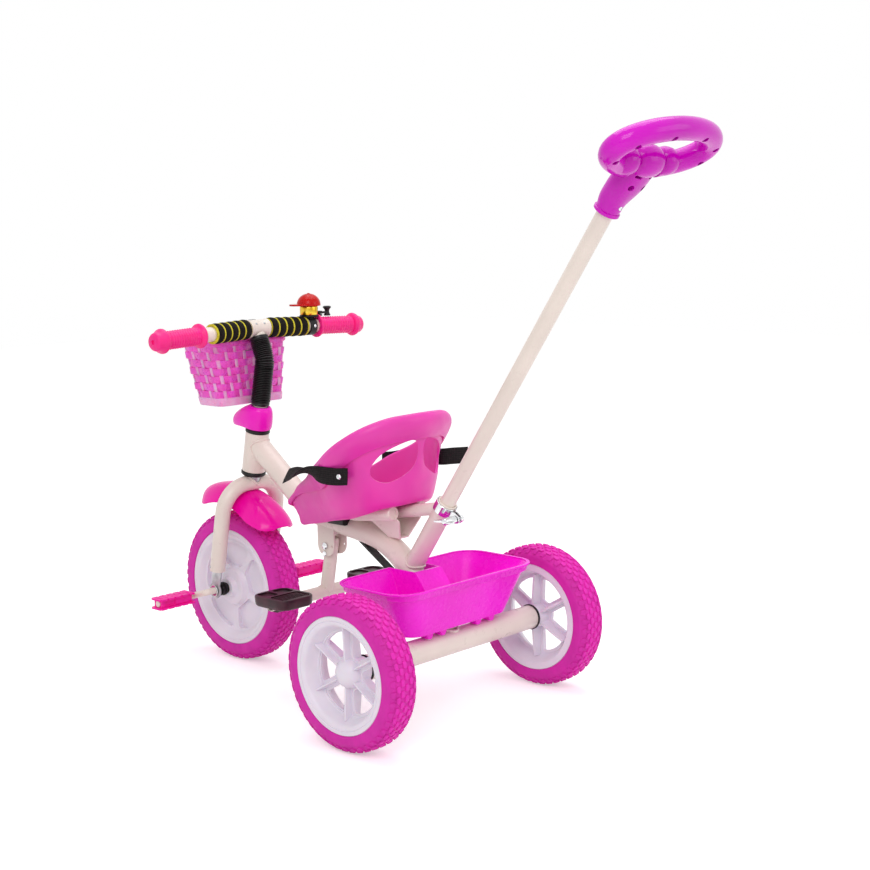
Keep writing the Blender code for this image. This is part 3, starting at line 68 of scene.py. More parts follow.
def middle_of(node):
    """The middle of a frame node's box, in the frame's metres."""
    low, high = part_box(node)
    return (low + high) / 2.0


SHIFT = middle_of("rear_tyre_left").x / MM
REAR_R = middle_of("rear_tyre_left").z / MM
REAR_Y = middle_of("rear_tyre_left").y / MM
FRONT_R = middle_of("front_tyre").z / MM
FRONT_CENTRE = Vector((middle_of("front_tyre").x / MM - SHIFT, 0.0, FRONT_R))
# The steering axis leans back, and its lengths run from the front axle
STEER_LEAN = math.radians(11.4)
STEER_UP = Vector((-math.sin(STEER_LEAN), 0.0, math.cos(STEER_LEAN)))
REAR_RIM_R = 79.6
FRONT_RIM_R = 92.1
ROD_R = 5.0
HEAD_LOW = 192.0
HEAD_HIGH = 255.0
# The push pole's way, and the low end of its socket, where its lengths start
POLE_AXIS = Vector((-0.569, 0.0, 0.822)).normalized()
POLE_LOW = Vector((71.0, 0.0, 204.0))
# The handlebar's bend and its left end
BAR_MIDDLE = Vector((398.0, 0.0, 530.5))
BAR_END = Vector((383.0, 203.0, 524.0))
BAR_R = 11.0
HANDLE_HINGE = Vector((-331.0, 0.0, 760.0))
HANDLE_TILT = math.radians(31.0)
# Square to the pole, backwards and down
POLE_BACK = POLE_AXIS.cross(LEFT)
POLE_HEAD = 638.0
AXLE_TUBE_HALF = 172.0
FORK_R = 12.0
FORK_Y = 54.5
FORK_CROWN = 172.0
SIDES = (("left", 1.0), ("right", -1.0))
HANDS = (1.0, -1.0)


def linear(colour):
    """An sRGB hex colour as the four linear values that a shader takes."""
    channels = [int(colour[i : i + 2], 16) / 255.0 for i in (1, 3, 5)]
    return tuple(c / 12.92 if c <= 0.04045 else ((c + 0.055) / 1.055) ** 2.4 for c in channels) + (1.0,)


def steer(forward, left, along):
    """A point in the steering axis's own frame, which starts at the front axle."""
    x = FRONT_CENTRE.x + forward * math.cos(STEER_LEAN) - along * math.sin(STEER_LEAN)
    z = FRONT_CENTRE.z + forward * math.sin(STEER_LEAN) + along * math.cos(STEER_LEAN)
    return Vector((x, left, z))


def bar_point(distance, hand):
    """A point on the handlebar's centreline."""
    ahead = Vector((BAR_END.x, BAR_END.y * hand, BAR_END.z)) - BAR_MIDDLE
    return BAR_MIDDLE + ahead.normalized() * distance


def pole(along):
    """A point on the push pole's centreline."""
    return POLE_LOW + POLE_AXIS * along


def colour_of(name, description, shade):
    """A colour that the panel shows, from its sRGB hex value."""
    words = {"name": name, "description": description, "default": linear(shade)}
    return FloatVectorProperty(subtype="COLOR", size=4, min=0.0, max=1.0, **words)


class TricycleColours(bpy.types.PropertyGroup):
    """The colours of the tricycle's finishes."""

    steel: colour_of("Painted steel", "Powder coat on the frame's tubes", "#ecdfd5")
    tyre: colour_of("Tyres", "Moulded foam of the three tyres", "#e228b2")
    rim: colour_of("Rims", "Polypropylene of the wheel rims", "#ebe2ee")
    seat: colour_of("Seat", "Polypropylene of the bucket seat", "#e838ae")
    bin: colour_of("Bin", "Polypropylene of the rear bin", "#ff10dc")
    grip: colour_of("Grips", "Soft vinyl of the grips", "#ff1488")
    pedal: colour_of("Pedals", "Soft vinyl of the pedals", "#ff10a6")
    fender: colour_of("Fender", "Glossy plastic of the fender", "#ff00ac")
    cap: colour_of("Steering cap", "Glossy plastic of the steering cap", "#f81ac8")
    handle: colour_of("Push handle", "Glossy plastic of the push handle", "#d40ac4")
    basket: colour_of("Basket", "Tinted plastic of the basket's weave", "#ff55cf")


class TricycleSizes(bpy.types.PropertyGroup):
    """The sizes and counts of the tricycle's repeated details."""

    tread_depth: FloatProperty(
        name="Tread depth", description="Height of a tread block", default=2.0 * MM, unit="LENGTH", precision=4
    )
    rear_blocks: IntProperty(name="Rear blocks", description="Tread blocks round a rear tyre", default=44)
    front_blocks: IntProperty(name="Front blocks", description="Tread blocks round the front tyre", default=50)
    hose_ribs: IntProperty(name="Hose ribs", description="Ribs of the hose on the stem", default=36)
    staves: IntProperty(name="Staves", description="Upright staves round the basket", default=24)
    weave_rows: IntProperty(name="Weave rows", description="Woven rows up the basket", default=7)
    foam_grooves: IntProperty(name="Foam grooves", description="Yellow grooves in each foam", default=4)


# Shapes


def smooth(points, steps, closed=False):
    """A Catmull-Rom curve through the points."""
    points = [Vector(point) for point in points]
    count = len(points)
    out = []
    for i in range(count if closed else count - 1):
        if closed:
            a, b, c, d = (points[(i + k) % count] for k in (-1, 0, 1, 2))
        else:
            a, b, c, d = (points[min(max(i + k, 0), count - 1)] for k in (-1, 0, 1, 2))
        for step in range(steps):
            t = step / steps
            bend = 2 * a - 5 * b + 4 * c - d
            twist = 3 * b - a - 3 * c + d
            out.append((2 * b + (c - a) * t + bend * t**2 + twist * t**3) / 2.0)
    if not closed:
        out.append(points[-1])
    return out


def rounded(points, radius, steps, closed=False):
    """A polyline with each corner replaced by an arc."""
    points = [Vector(point) for point in points]
    count = len(points)
    out = []
    for i, corner in enumerate(points):
        if not closed and i in (0, count - 1):
            out.append(corner)
            continue
        back = (points[i - 1] - corner).normalized()
        ahead = (points[(i + 1) % count] - corner).normalized()
        half = back.angle(ahead) / 2.0
        reach = radius / math.tan(half)
        middle = corner + (back + ahead).normalized() * (radius / math.sin(half))
        start = (corner + back * reach - middle).normalized()
        end = (corner + ahead * reach - middle).normalized()
        for step in range(steps + 1):
            out.append(middle + start.slerp(end, step / steps) * radius)
    return out


def evenly(points, count, closed=True):
    """The same curve with its points spaced evenly along it."""
    loop = points + [points[0]] if closed else points
    lengths = [(b - a).length for a, b in zip(loop, loop[1:])]
    total = sum(lengths)
    spans = count if closed else count - 1
    out = []
    for k in range(count):
        goal = total * k / spans
        i = 0
        while i < len(lengths) - 1 and goal > lengths[i]:
            goal -= lengths[i]
            i += 1
        out.append(loop[i].lerp(loop[i + 1], min(goal / lengths[i], 1.0)))
    return out


def circle(radius, sides, flat=1.0):
    """A round or oval section, as (sideways, upward) pairs."""
    angles = [math.tau * i / sides for i in range(sides)]
    return [(radius * math.cos(a), radius * flat * math.sin(a)) for a in angles]


def outline(corners, radius, steps=4):
    """A flat outline with rounded corners, as pairs."""
    return [(p.x, p.y) for p in rounded([(a, b, 0.0) for a, b in corners], radius, steps, True)]


def bridge(bm, rows, around=True):
    """Faces between neighbouring rows of vertices, whose ends meet when they go around."""
    for low, high in zip(rows, rows[1:]):
        for i in range(len(low) if around else len(low) - 1):
            j = (i + 1) % len(low)
            bm.faces.new((low[i], low[j], high[j], high[i]))


def skin(rings, closed=False):
    """Bridge neighbouring rings of points, and cap the two ends unless they meet."""
    bm = bmesh.new()
    made = [[bm.verts.new(point) for point in ring] for ring in rings]
    bridge(bm, made + made[:1] if closed else made)
    if not closed:
        bm.faces.new(made[0])
        bm.faces.new(list(reversed(made[-1])))
    return bm


def sweep(path, section, side, scales=None, closed=False):
    """Carry a section along a path, with its first axis kept towards the side vector."""
    rings = []
    last = len(path) - 1
    for i, point in enumerate(path):
        before = path[i - 1] if i > 0 or closed else point
        after = path[(i + 1) % len(path)] if i < last or closed else point
        ahead = (after - before).normalized()
        first = (side - ahead * side.dot(ahead)).normalized()
        second = ahead.cross(first)
        scale = scales[i] if scales else 1.0
        rings.append([point + (first * a + second * b) * scale for a, b in section])
    return skin(rings, closed)


def rod(low, high, radius, sides=32, chamfer=0.0):
    """A round bar between two points, with its ends rounded off where a chamfer is given."""
    low = Vector(low)
    high = Vector(high)
    ahead = (high - low).normalized()
    side = LEFT if abs(ahead.y) < 0.9 else UP
    if not chamfer:
        return sweep([low, high], circle(radius, sides), side)
    path = [low, low + ahead * chamfer, high - ahead * chamfer, high]
    scales = [radius - chamfer, radius, radius, radius - chamfer]
    return sweep(path, circle(1.0, sides), side, scales)


def crossbar(middle, half, radius, sides=32, chamfer=0.0):
    """A round bar from right to left through a point."""
    return rod(middle - LEFT * half, middle + LEFT * half, radius, sides, chamfer)


def turned(profile, steps=64, ring=False):
    """Spin a (radius, height) outline about Z. A ring outline closes on itself round a bore."""
    bm = bmesh.new()
    corners = [bm.verts.new((radius, 0.0, height)) for radius, height in profile]
    edges = [bm.edges.new(pair) for pair in zip(corners, corners[1:])]
    if ring:
        edges.append(bm.edges.new((corners[-1], corners[0])))
    turn = {"cent": (0, 0, 0), "axis": (0, 0, 1), "dvec": (0, 0, 0), "angle": math.tau}
    bmesh.ops.spin(bm, geom=corners + edges, steps=steps, use_merge=True, **turn)
    bmesh.ops.remove_doubles(bm, verts=bm.verts, dist=0.001)
    bmesh.ops.recalc_face_normals(bm, faces=bm.faces)
    return bm


def mirrored(profile):
    """A ring outline from its upper half, whose points run from the bore outwards."""
    return profile + [(radius, -height) for radius, height in reversed(profile)]


def prism(pairs, low, high, across="y"):
    """Extrude an outline. Its pairs are XZ across Y, YZ across X or XY across Z."""
    rings = []
    for level in (low, high):
        if across == "y":
            rings.append([Vector((a, level, b)) for a, b in pairs])
        elif across == "x":
            rings.append([Vector((level, a, b)) for a, b in pairs])
        else:
            rings.append([Vector((a, b, level)) for a, b in pairs])
    return skin(rings)


def joined(shapes):
    """Several shapes in one mesh, which stay separate bodies."""
    whole = bmesh.new()
    for shape in shapes:
        held = bpy.data.meshes.new("held")
        shape.to_mesh(held)
        shape.free()
        whole.from_mesh(held)
        bpy.data.meshes.remove(held)
    return whole


def placed(bm, origin, axis):
    """A shape made about Z, stood on an axis at a point."""
    turn = UP.rotation_difference(Vector(axis)).to_matrix().to_4x4()
    bmesh.ops.transform(bm, matrix=Matrix.Translation(Vector(origin)) @ turn, verts=bm.verts)
    return bm


def shifted(bm, x, y, z):
    """The shape, moved by this much."""
    bmesh.ops.translate(bm, verts=bm.verts, vec=(x, y, z))
    return bm


def rectangle(a0, a1, b0, b1):
    """The corners of a rectangle between two values of each axis."""
    return [(a0, b0), (a1, b0), (a1, b1), (a0, b1)]


def hoop(upper, steps):
    """A ring about Z from the upper half of its outline, which is the same above and below."""
    return turned(mirrored(upper), steps, True)


def linked(name, data):
    """A new object in the scene."""
    obj = bpy.data.objects.new(name, data)
    bpy.context.scene.collection.objects.link(obj)
    return obj


def held_object(bm, oriented=False):
    """A shape in an object of its own, for a modifier to work on."""
    if not oriented:
        bmesh.ops.recalc_face_normals(bm, faces=bm.faces)
    mesh = bpy.data.meshes.new("held")
    bm.to_mesh(mesh)
    bm.free()
    return linked("held", mesh)


def removed(obj):
    """Remove an object and its mesh."""
    mesh = obj.data
    bpy.data.objects.remove(obj, do_unlink=True)
    bpy.data.meshes.remove(mesh)


def settled(obj):
    """The shape that an object's modifiers give. The object is removed."""
    bpy.context.view_layer.update()
    graph = bpy.context.evaluated_depsgraph_get()
    result = bpy.data.meshes.new_from_object(obj.evaluated_get(graph))
    removed(obj)
    bm = bmesh.new()
    bm.from_mesh(result)
    bpy.data.meshes.remove(result)
    return bm


def carved(target, tool, operation="DIFFERENCE", crossing=False):
    """The target with the tool cut out of it, or joined on. A crossing target passes through itself."""
    work = held_object(target)
    cutter = held_object(tool)
    modifier = work.modifiers.new("cut", "BOOLEAN")
    modifier.operation = operation
    modifier.solver = "EXACT"
    modifier.use_self = crossing
    modifier.object = cutter
    result = settled(work)
    removed(cutter)
    return result


def thickened(sheet, thickness):
    """A closed shell that grows inwards from a sheet whose faces point outwards."""
    work = held_object(sheet, oriented=True)
    modifier = work.modifiers.new("wall", "SOLIDIFY")
    modifier.thickness = thickness
    modifier.offset = -1.0
    modifier.use_quality_normals = True
    return settled(work)


def from_node(*names):
    """Copies of frame nodes as shapes in millimetres, with their loose triangles merged into faces."""
    shapes = []
    for name in names:
        bm = bmesh.new()
        bm.from_mesh(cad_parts[name].data)
        bmesh.ops.scale(bm, verts=bm.verts, vec=(1 / MM, 1 / MM, 1 / MM))
        shifted(bm, -SHIFT, 0.0, 0.0)
        bmesh.ops.remove_doubles(bm, verts=bm.verts, dist=0.004)
        bmesh.ops.dissolve_limit(bm, angle_limit=math.radians(1.0), verts=bm.verts, edges=bm.edges)
        shapes.append(bm)
    return joined(shapes)


def copies_tree():
    """A node tree that repeats a shape, each copy turned and moved on from the last."""
    tree = bpy.data.node_groups.new("repeated_copies", "GeometryNodeTree")
    tree.is_modifier = True
    face = tree.interface
    face.new_socket("Geometry", in_out="INPUT", socket_type="NodeSocketGeometry")
    face.new_socket("Copies", in_out="INPUT", socket_type="NodeSocketInt")
    face.new_socket("Turn", in_out="INPUT", socket_type="NodeSocketFloat")
    face.new_socket("Step", in_out="INPUT", socket_type="NodeSocketVector")
    face.new_socket("Material", in_out="INPUT", socket_type="NodeSocketMaterial")
    face.new_socket("Geometry", in_out="OUTPUT", socket_type="NodeSocketGeometry")
    given = add_node(tree, "NodeGroupInput").outputs
    index = add_node(tree, "GeometryNodeInputIndex").outputs["Index"]
    turn = add_node(tree, "ShaderNodeMath", {0: index, 1: given["Turn"]}, operation="MULTIPLY")
    angles = add_node(tree, "ShaderNodeCombineXYZ", {"Z": turn.outputs[0]})
    scale = {0: given["Step"], "Scale": index}
    place = add_node(tree, "ShaderNodeVectorMath", scale, operation="SCALE")
    points = add_node(tree, "GeometryNodePoints", {"Count": given["Copies"]})
    moved = {"Geometry": points.outputs[0], "Position": place.outputs[0]}
    moved = add_node(tree, "GeometryNodeSetPosition", moved)
    links = {"Points": moved.outputs[0], "Instance": given["Geometry"], "Rotation": angles.outputs[0]}
    made = add_node(tree, "GeometryNodeInstanceOnPoints", links)
    real = add_node(tree, "GeometryNodeRealizeInstances", {"Geometry": made.outputs[0]})
    links = {"Geometry": real.outputs[0], "Material": given["Material"]}
    done = add_node(tree, "GeometryNodeSetMaterial", links)
    add_node(tree, "NodeGroupOutput", {"Geometry": done.outputs[0]})
    return tree


def repeated(bm, copies, look, turn=0.0, step=(0.0, 0.0, 0.0)):
    """Copies of a shape, each turned about Z and moved on from the last."""
    tree = bpy.data.node_groups.get("repeated_copies") or copies_tree()
    work = held_object(bm)
    modifier = work.modifiers.new("copies", "NODES")
    modifier.node_group = tree
    values = {"Copies": copies, "Turn": turn, "Step": list(step), "Material": finish(look)[0]}
    for item in tree.interface.items_tree:
        if item.in_out == "INPUT" and item.name in values:
            modifier[item.identifier] = values[item.name]
    return settled(work)


def piece(name, shapes, look, body, *nodes, bevel=0.0, sharp=35.0):
    """A finished object in the frame's metres, which rides on a body and stands for some nodes."""
    material, slot = finish(look)
    whole = joined(shapes) if isinstance(shapes, list) else shapes
    bmesh.ops.recalc_face_normals(whole, faces=whole.faces)
    shifted(whole, SHIFT, 0.0, 0.0)
    bmesh.ops.scale(whole, verts=whole.verts, vec=(MM, MM, MM))
    mesh = bpy.data.meshes.new(name)
    whole.to_mesh(mesh)
    whole.free()
    mesh.materials.clear()
    mesh.materials.append(material)
    mesh.polygons.foreach_set("material_index", [0] * len(mesh.polygons))
    mesh.shade_smooth()
    mesh.set_sharp_from_angle(angle=math.radians(sharp))
    obj = linked(name, mesh)
    if bevel:
        soft = obj.modifiers.new("edges", "BEVEL")
        soft.width = bevel * MM
        soft.segments = 2
        soft.limit_method = "ANGLE"
        soft.angle_limit = math.radians(32.0)
        soft.harden_normals = True
    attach(obj, body)
    if nodes:
        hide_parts(*nodes)
    return obj


# Materials


def add_node(tree, kind, links=None, **settings):
    """Add a node with its settings, and link or set its inputs."""
    made = tree.nodes.new(kind)
    for name, value in settings.items():
        setattr(made, name, value)
    for name, value in (links or {}).items():
        if isinstance(value, bpy.types.NodeSocket):
            tree.links.new(value, made.inputs[name])
        else:
            made.inputs[name].default_value = value
    return made


def texture(tree, place, source):
    """A recipe's texture: noise of a size in millimetres and a detail, or what its own function adds."""
    if callable(source):
        return source(tree, place)
    links = {"Vector": place, "Scale": 1.0 / (source[0] * MM), "Detail": source[1]}
    return add_node(tree, "ShaderNodeTexNoise", links).outputs["Fac"]


def shades_of(given):
    """The darkest and palest colour of a finish, from a panel colour's two factors or two hex values."""
    if len(given) == 2:
        return [linear(value) for value in given]
    colour = getattr(bpy.context.scene.tricycle_colours, given[0])
    return [tuple(min(1.0, c * factor) for c in colour[:3]) + (1.0,) for factor in given[1:]]


def made_finish(name, slot, shades, span, clouds, polish, reliefs, sockets):
    """A material and its slot: shades blended by clouds, roughness that wanders, and layers of relief."""
    material = bpy.data.materials.new(name)
    material.use_nodes = True
    tree = material.node_tree
    shader = tree.nodes["Principled BSDF"]
    for key, value in sockets.items():
        shader.inputs[key].default_value = value
    place = add_node(tree, "ShaderNodeTexCoord").outputs["Object"]
    factor = texture(tree, place, clouds)
    ramp = add_node(tree, "ShaderNodeValToRGB", {"Fac": factor})
    shades = shades_of(shades)
    for element, position, colour in zip(ramp.color_ramp.elements, span, shades):
        element.position = position
        element.color = colour
    tree.links.new(ramp.outputs["Color"], shader.inputs["Base Color"])
    material.diffuse_color = shades[1]
    size_mm, low, high = polish
    links = {"From Min": 0.3, "From Max": 0.7, "To Min": low, "To Max": high}
    links["Value"] = texture(tree, place, (size_mm, 3.0))
    spread = add_node(tree, "ShaderNodeMapRange", links)
    tree.links.new(spread.outputs["Result"], shader.inputs["Roughness"])
    below = None
    for source, depth_mm in reliefs:
        height = factor if source is clouds else texture(tree, place, source)
        links = {"Height": height, "Strength": 1.0, "Distance": depth_mm * MM}
        if below:
            links["Normal"] = below
        below = add_node(tree, "ShaderNodeBump", links).outputs["Normal"]
    tree.links.new(below, shader.inputs["Normal"])
    return material, slot


def grain(tree, place):
    """The faint leather-like cells of the seat's mould."""
    links = {"Vector": place, "Scale": 1.0 / (1.8 * MM)}
    return add_node(tree, "ShaderNodeTexVoronoi", links).outputs["Distance"]


def streaks(tree, place):
    """Fine streaks along the basket's strips, as on split cane."""
    drawn = add_node(tree, "ShaderNodeMapping", {"Vector": place, "Scale": (0.25, 0.25, 2.2)})
    return texture(tree, drawn.outputs["Vector"], (2.2, 3.0))


def yarns(tree, place):
    """A plain weave along the strap's own map, 3 mm a yarn: twice the real width, so that it shows."""
    along = add_node(tree, "ShaderNodeUVMap", uv_map="UVMap").outputs["UV"]
    links = {"Vector": along, "Scale": math.tau / 20.0 / (3.0 * MM), "Distortion": 0.4}
    warp, weft = (add_node(tree, "ShaderNodeTexWave", links, bands_direction=way) for way in "XY")
    links = {0: warp.outputs["Fac"], 1: weft.outputs["Fac"]}
    return add_node(tree, "ShaderNodeMath", links, operation="MULTIPLY").outputs[0]


def foam_tyre(name, centre, radius):
    """Add one tyre's finish, moulded EVA foam that is deeper in colour between the blocks. Gives its key."""

    def height(tree, place):
        """How far out on the tread a point lies, with clouds added."""
        where = Vector((centre.x + SHIFT, centre.y, centre.z)) * -MM
        moved = add_node(tree, "ShaderNodeMapping", {"Vector": place, "Location": where})
        flat = {0: moved.outputs["Vector"], 1: (1.0, 0.0, 1.0)}
        flat = add_node(tree, "ShaderNodeVectorMath", flat, operation="MULTIPLY")
        reach = add_node(tree, "ShaderNodeVectorMath", {0: flat.outputs[0]}, operation="LENGTH")
        links = {"From Min": (radius - 2.6) * MM, "From Max": radius * MM, "Value": reach.outputs["Value"]}
        out = add_node(tree, "ShaderNodeMapRange", links).outputs["Result"]
        links = {0: out, 1: texture(tree, place, (22, 3.0))}
        return add_node(tree, "ShaderNodeMath", links, operation="ADD").outputs[0]

    # The shades run from painted shade in the grooves between the blocks to a slightly paler pink on the
    # blocks' faces
    FINISHES[name] = (
        name, "magenta_tyre", ("tyre", 0.82, 1.06), (0.35, 1.35), height, (7, 0.5, 0.66),
        [((1.1, 4.0), 0.10)], {"IOR": 1.45, "Specular IOR Level": 0.35},
    )
    return name


MIDDLE = (0.3, 0.7)

# Each finish has its material's name, its slot, its two shades, the span of the texture that blends them,
# that texture, the roughness (size of its patches in mm, lowest, highest), its layers of relief (texture
# and depth in mm) and the shader's constant values
FINISHES = {
    # Steel tube under a baked powder coat, with an orange-peel skin drawn 2 mm wide, twice the real width
    "paint": (
        "powder coated steel", "cream_paint", ("steel", 0.94, 1.03), MIDDLE, (70, 3.0), (12, 0.26, 0.36),
        [((2.4, 0.0), 0.008)], {"IOR": 1.5, "Coat Weight": 0.15, "Coat Roughness": 0.12},
    ),
    # Pressed steel under clear zinc: satin grey with cloudy patches
    "zinc": (
        "zinc plated steel", "zinc", ("#9b9da0", "#c6c7c9"), MIDDLE, (9, 3.0), (4, 0.28, 0.46),
        [((0.9, 3.0), 0.02)], {"Metallic": 1.0},
    ),
    # Bright chrome over pressed steel, with faint smears of handling
    "chrome": (
        "chrome plated steel", "chrome", ("#cfd1d4", "#e6e7e9"), MIDDLE, (14, 3.0), (6, 0.08, 0.2),
        [((3.0, 3.0), 0.01)], {"Metallic": 1.0},
    ),
    # Injection-moulded polypropylene, near white with a lavender cast and a soft satin skin
    "rim": (
        "polypropylene rim", "lavender_rim", ("rim", 0.95, 1.02), MIDDLE, (45, 3.0), (10, 0.3, 0.42),
        [((1.6, 3.0), 0.015)], {"IOR": 1.49, "Subsurface Weight": 0.12, "Subsurface Scale": 0.004},
    ),
    # Blow-moulded polypropylene of the seat: a soft satin pink with a faint grain
    "seat": (
        "polypropylene seat", "pink_seat", ("seat", 0.9, 1.08), MIDDLE, (90, 3.0), (14, 0.34, 0.46),
        [(grain, 0.05), ((25, 3.0), 0.12)],
        {
            "IOR": 1.49, "Coat Weight": 0.05, "Coat Roughness": 0.3, "Subsurface Weight": 0.08,
            "Subsurface Scale": 0.004,
        },
    ),
    # Glossy polypropylene of the bin, strongly coloured and lightly wavy
    "bin": (
        "glossy polypropylene bin", "magenta_bin", ("bin", 0.9, 1.05), MIDDLE, (60, 3.0), (9, 0.21, 0.33),
        [((9.0, 0.0), 0.02)], {"IOR": 1.49, "Specular IOR Level": 0.3},
    ),
    # Soft vinyl of the grips: bright and slightly waxy
    "grip": (
        "soft vinyl grip", "hot_pink", ("grip", 0.9, 1.05), MIDDLE, (30, 3.0), (9, 0.37, 0.49),
        [((1.5, 0.0), 0.04)], {"IOR": 1.49, "Subsurface Weight": 0.1, "Subsurface Scale": 0.003},
    ),
    # Soft vinyl of the pedals, brighter than the grips
    "pedal": (
        "soft vinyl pedal", "hot_pink", ("pedal", 0.9, 1.05), MIDDLE, (30, 3.0), (9, 0.4, 0.52),
        [((3.0, 0.0), 0.02)], {"IOR": 1.49, "Specular IOR Level": 0.35},
    ),
    # Glossy ABS of the fender, deep in colour
    "fender": (
        "glossy ABS fender", "hot_pink", ("fender", 0.9, 1.05), MIDDLE, (60, 3.0), (9, 0.11, 0.23),
        [((8.0, 0.0), 0.01)], {"IOR": 1.49, "Specular IOR Level": 0.26},
    ),
    # Glossy ABS of the steering cap, more violet than the fender
    "cap": (
        "glossy ABS cap", "hot_pink", ("cap", 0.9, 1.05), MIDDLE, (60, 3.0), (9, 0.15, 0.27),
        [((8.0, 0.0), 0.01)], {"IOR": 1.49, "Specular IOR Level": 0.28},
    ),
    # Glossy ABS of the push handle, deep violet-pink with sharp highlights
    "handle": (
        "glossy ABS handle", "violet_handle", ("handle", 0.9, 1.05), MIDDLE, (60, 3.0), (9, 0.09, 0.21),
        [((9.0, 0.0), 0.01)], {"IOR": 1.49, "Specular IOR Level": 0.3},
    ),
    # Tinted polyethylene of the basket's woven rows: light passes a little way in
    "weave": (
        "tinted polyethylene weave", "basket_pink", ("basket", 0.95, 1.2), MIDDLE, (9, 3.0), (5, 0.22, 0.4),
        [(streaks, 0.22)],
        {"IOR": 1.5, "Transmission Weight": 0.08, "Subsurface Weight": 0.3, "Subsurface Scale": 0.006},
    ),
    # Clear pink polyethylene of the basket's staves and base band
    "pale": (
        "clear pink polyethylene", "basket_pink", ("#ff9edb", "#ffc4ea"), MIDDLE, (12, 3.0), (5, 0.25, 0.42),
        [((4.0, 3.0), 0.1)],
        {"IOR": 1.5, "Transmission Weight": 0.1, "Subsurface Weight": 0.3, "Subsurface Scale": 0.006},
    ),
    # Moulded black nylon of the bearing rings, bushes, stay and bell base
    "black": (
        "moulded black nylon", "black_plastic", ("#0d0b0c", "#171416"), MIDDLE, (12, 3.0), (5, 0.38, 0.55),
        [((0.9, 3.0), 0.03)], {"IOR": 1.53, "Specular IOR Level": 0.3},
    ),
    # Black polyethylene conduit with a waxy shine on each rib
    "hose": (
        "black polyethylene hose", "black_hose", ("#0a0809", "#141112"), MIDDLE, (10, 3.0), (6, 0.3, 0.44),
        [((1.2, 3.0), 0.02)], {"IOR": 1.51, "Specular IOR Level": 0.35},
    ),
    # Brown-black polypropylene of the footrests, rubbed paler where feet rest
    "footrest": (
        "brown-black polypropylene", "brown_black", ("#241218", "#4a2230"), MIDDLE, (16, 3.0), (8, 0.32, 0.5),
        [((1.0, 3.0), 0.04)], {"IOR": 1.49, "Specular IOR Level": 0.35},
    ),
    # Black nitrile foam sleeves: dull, with open pores
    "foam": (
        "black nitrile foam", "black_foam", ("#0b0908", "#1e1815"), MIDDLE, (3.0, 5.0), (4, 0.75, 0.95),
        [((0.9, 5.0), 0.18)], {"IOR": 1.45, "Specular IOR Level": 0.2},
    ),
    # The yellow inner layer of the same foam, bared at the grooves and the ends
    "yellow": (
        "yellow nitrile foam", "black_foam", ("#b9ac1e", "#ded63a"), MIDDLE, (3.0, 5.0), (4, 0.7, 0.9),
        [((0.9, 5.0), 0.12)], {"IOR": 1.45},
    ),
    # Black polypropylene webbing: a plain weave of flat yarns
    "webbing": (
        "black polypropylene webbing", "black_webbing", ("#090607", "#241b1e"), (0.0, 0.8), yarns,
        (3, 0.6, 0.85), [(yarns, 0.25)], {"IOR": 1.49, "Specular IOR Level": 0.2},
    ),
    # Polished brass of the bell's drum
    "brass": (
        "polished brass", "brass", ("#c9971f", "#efd053"), MIDDLE, (8, 3.0), (5, 0.1, 0.22),
        [((3.0, 3.0), 0.01)], {"Metallic": 1.0},
    ),
    # Red stove enamel of the bell's cap under a thick gloss
    "red": (
        "red stove enamel", "red_paint", ("#b80503", "#c80a06"), MIDDLE, (12, 3.0), (6, 0.14, 0.24),
        [((3.0, 3.0), 0.01)], {"IOR": 1.5, "Specular IOR Level": 0.22},
    ),
}
MADE = {}


def finish(key):
    """The material and the slot of a finish, made when it is first asked for."""
    if key not in MADE:
        MADE[key] = made_finish(*FINISHES[key])
    return MADE[key]


# Wheels


# The tread's round edges, and how far it falls towards them
SHOULDER = 14.0
CROWN_FALL = 0.3


def crown_point(along, radius, half, lift):
    """A point of the tyre's tread by its distance from the crown's middle, as (radius, height)."""
    flat = half - SHOULDER
    side = 1.0 if along >= 0 else -1.0
    reach = abs(along)
    if reach <= flat:
        return radius + lift - CROWN_FALL * (reach / flat) ** 2, side * reach
    turn = (reach - flat) / SHOULDER
    out = SHOULDER + lift
    return radius - CROWN_FALL - SHOULDER + out * math.cos(turn), side * (flat + out * math.sin(turn))


def tread_block(corners, radius, half, depth):
    """One tapered block, whose corners are (across, round) millimetres on the tread."""
    middle = [sum(pair[k] for pair in corners) / len(corners) for k in (0, 1)]
    rings = []
    for lift, scale in ((-depth - 0.4, 1.0), (-0.4, 0.9), (0.0, 0.76)):
        ring = []
        for across, round_way in corners:
            s = middle[0] + (across - middle[0]) * scale
            t = middle[1] + (round_way - middle[1]) * scale
            reach, height = crown_point(s, radius, half, lift)
            angle = t / radius
            ring.append(Vector((reach * math.cos(angle), reach * math.sin(angle), height)))
        rings.append(ring)
    return skin(rings)


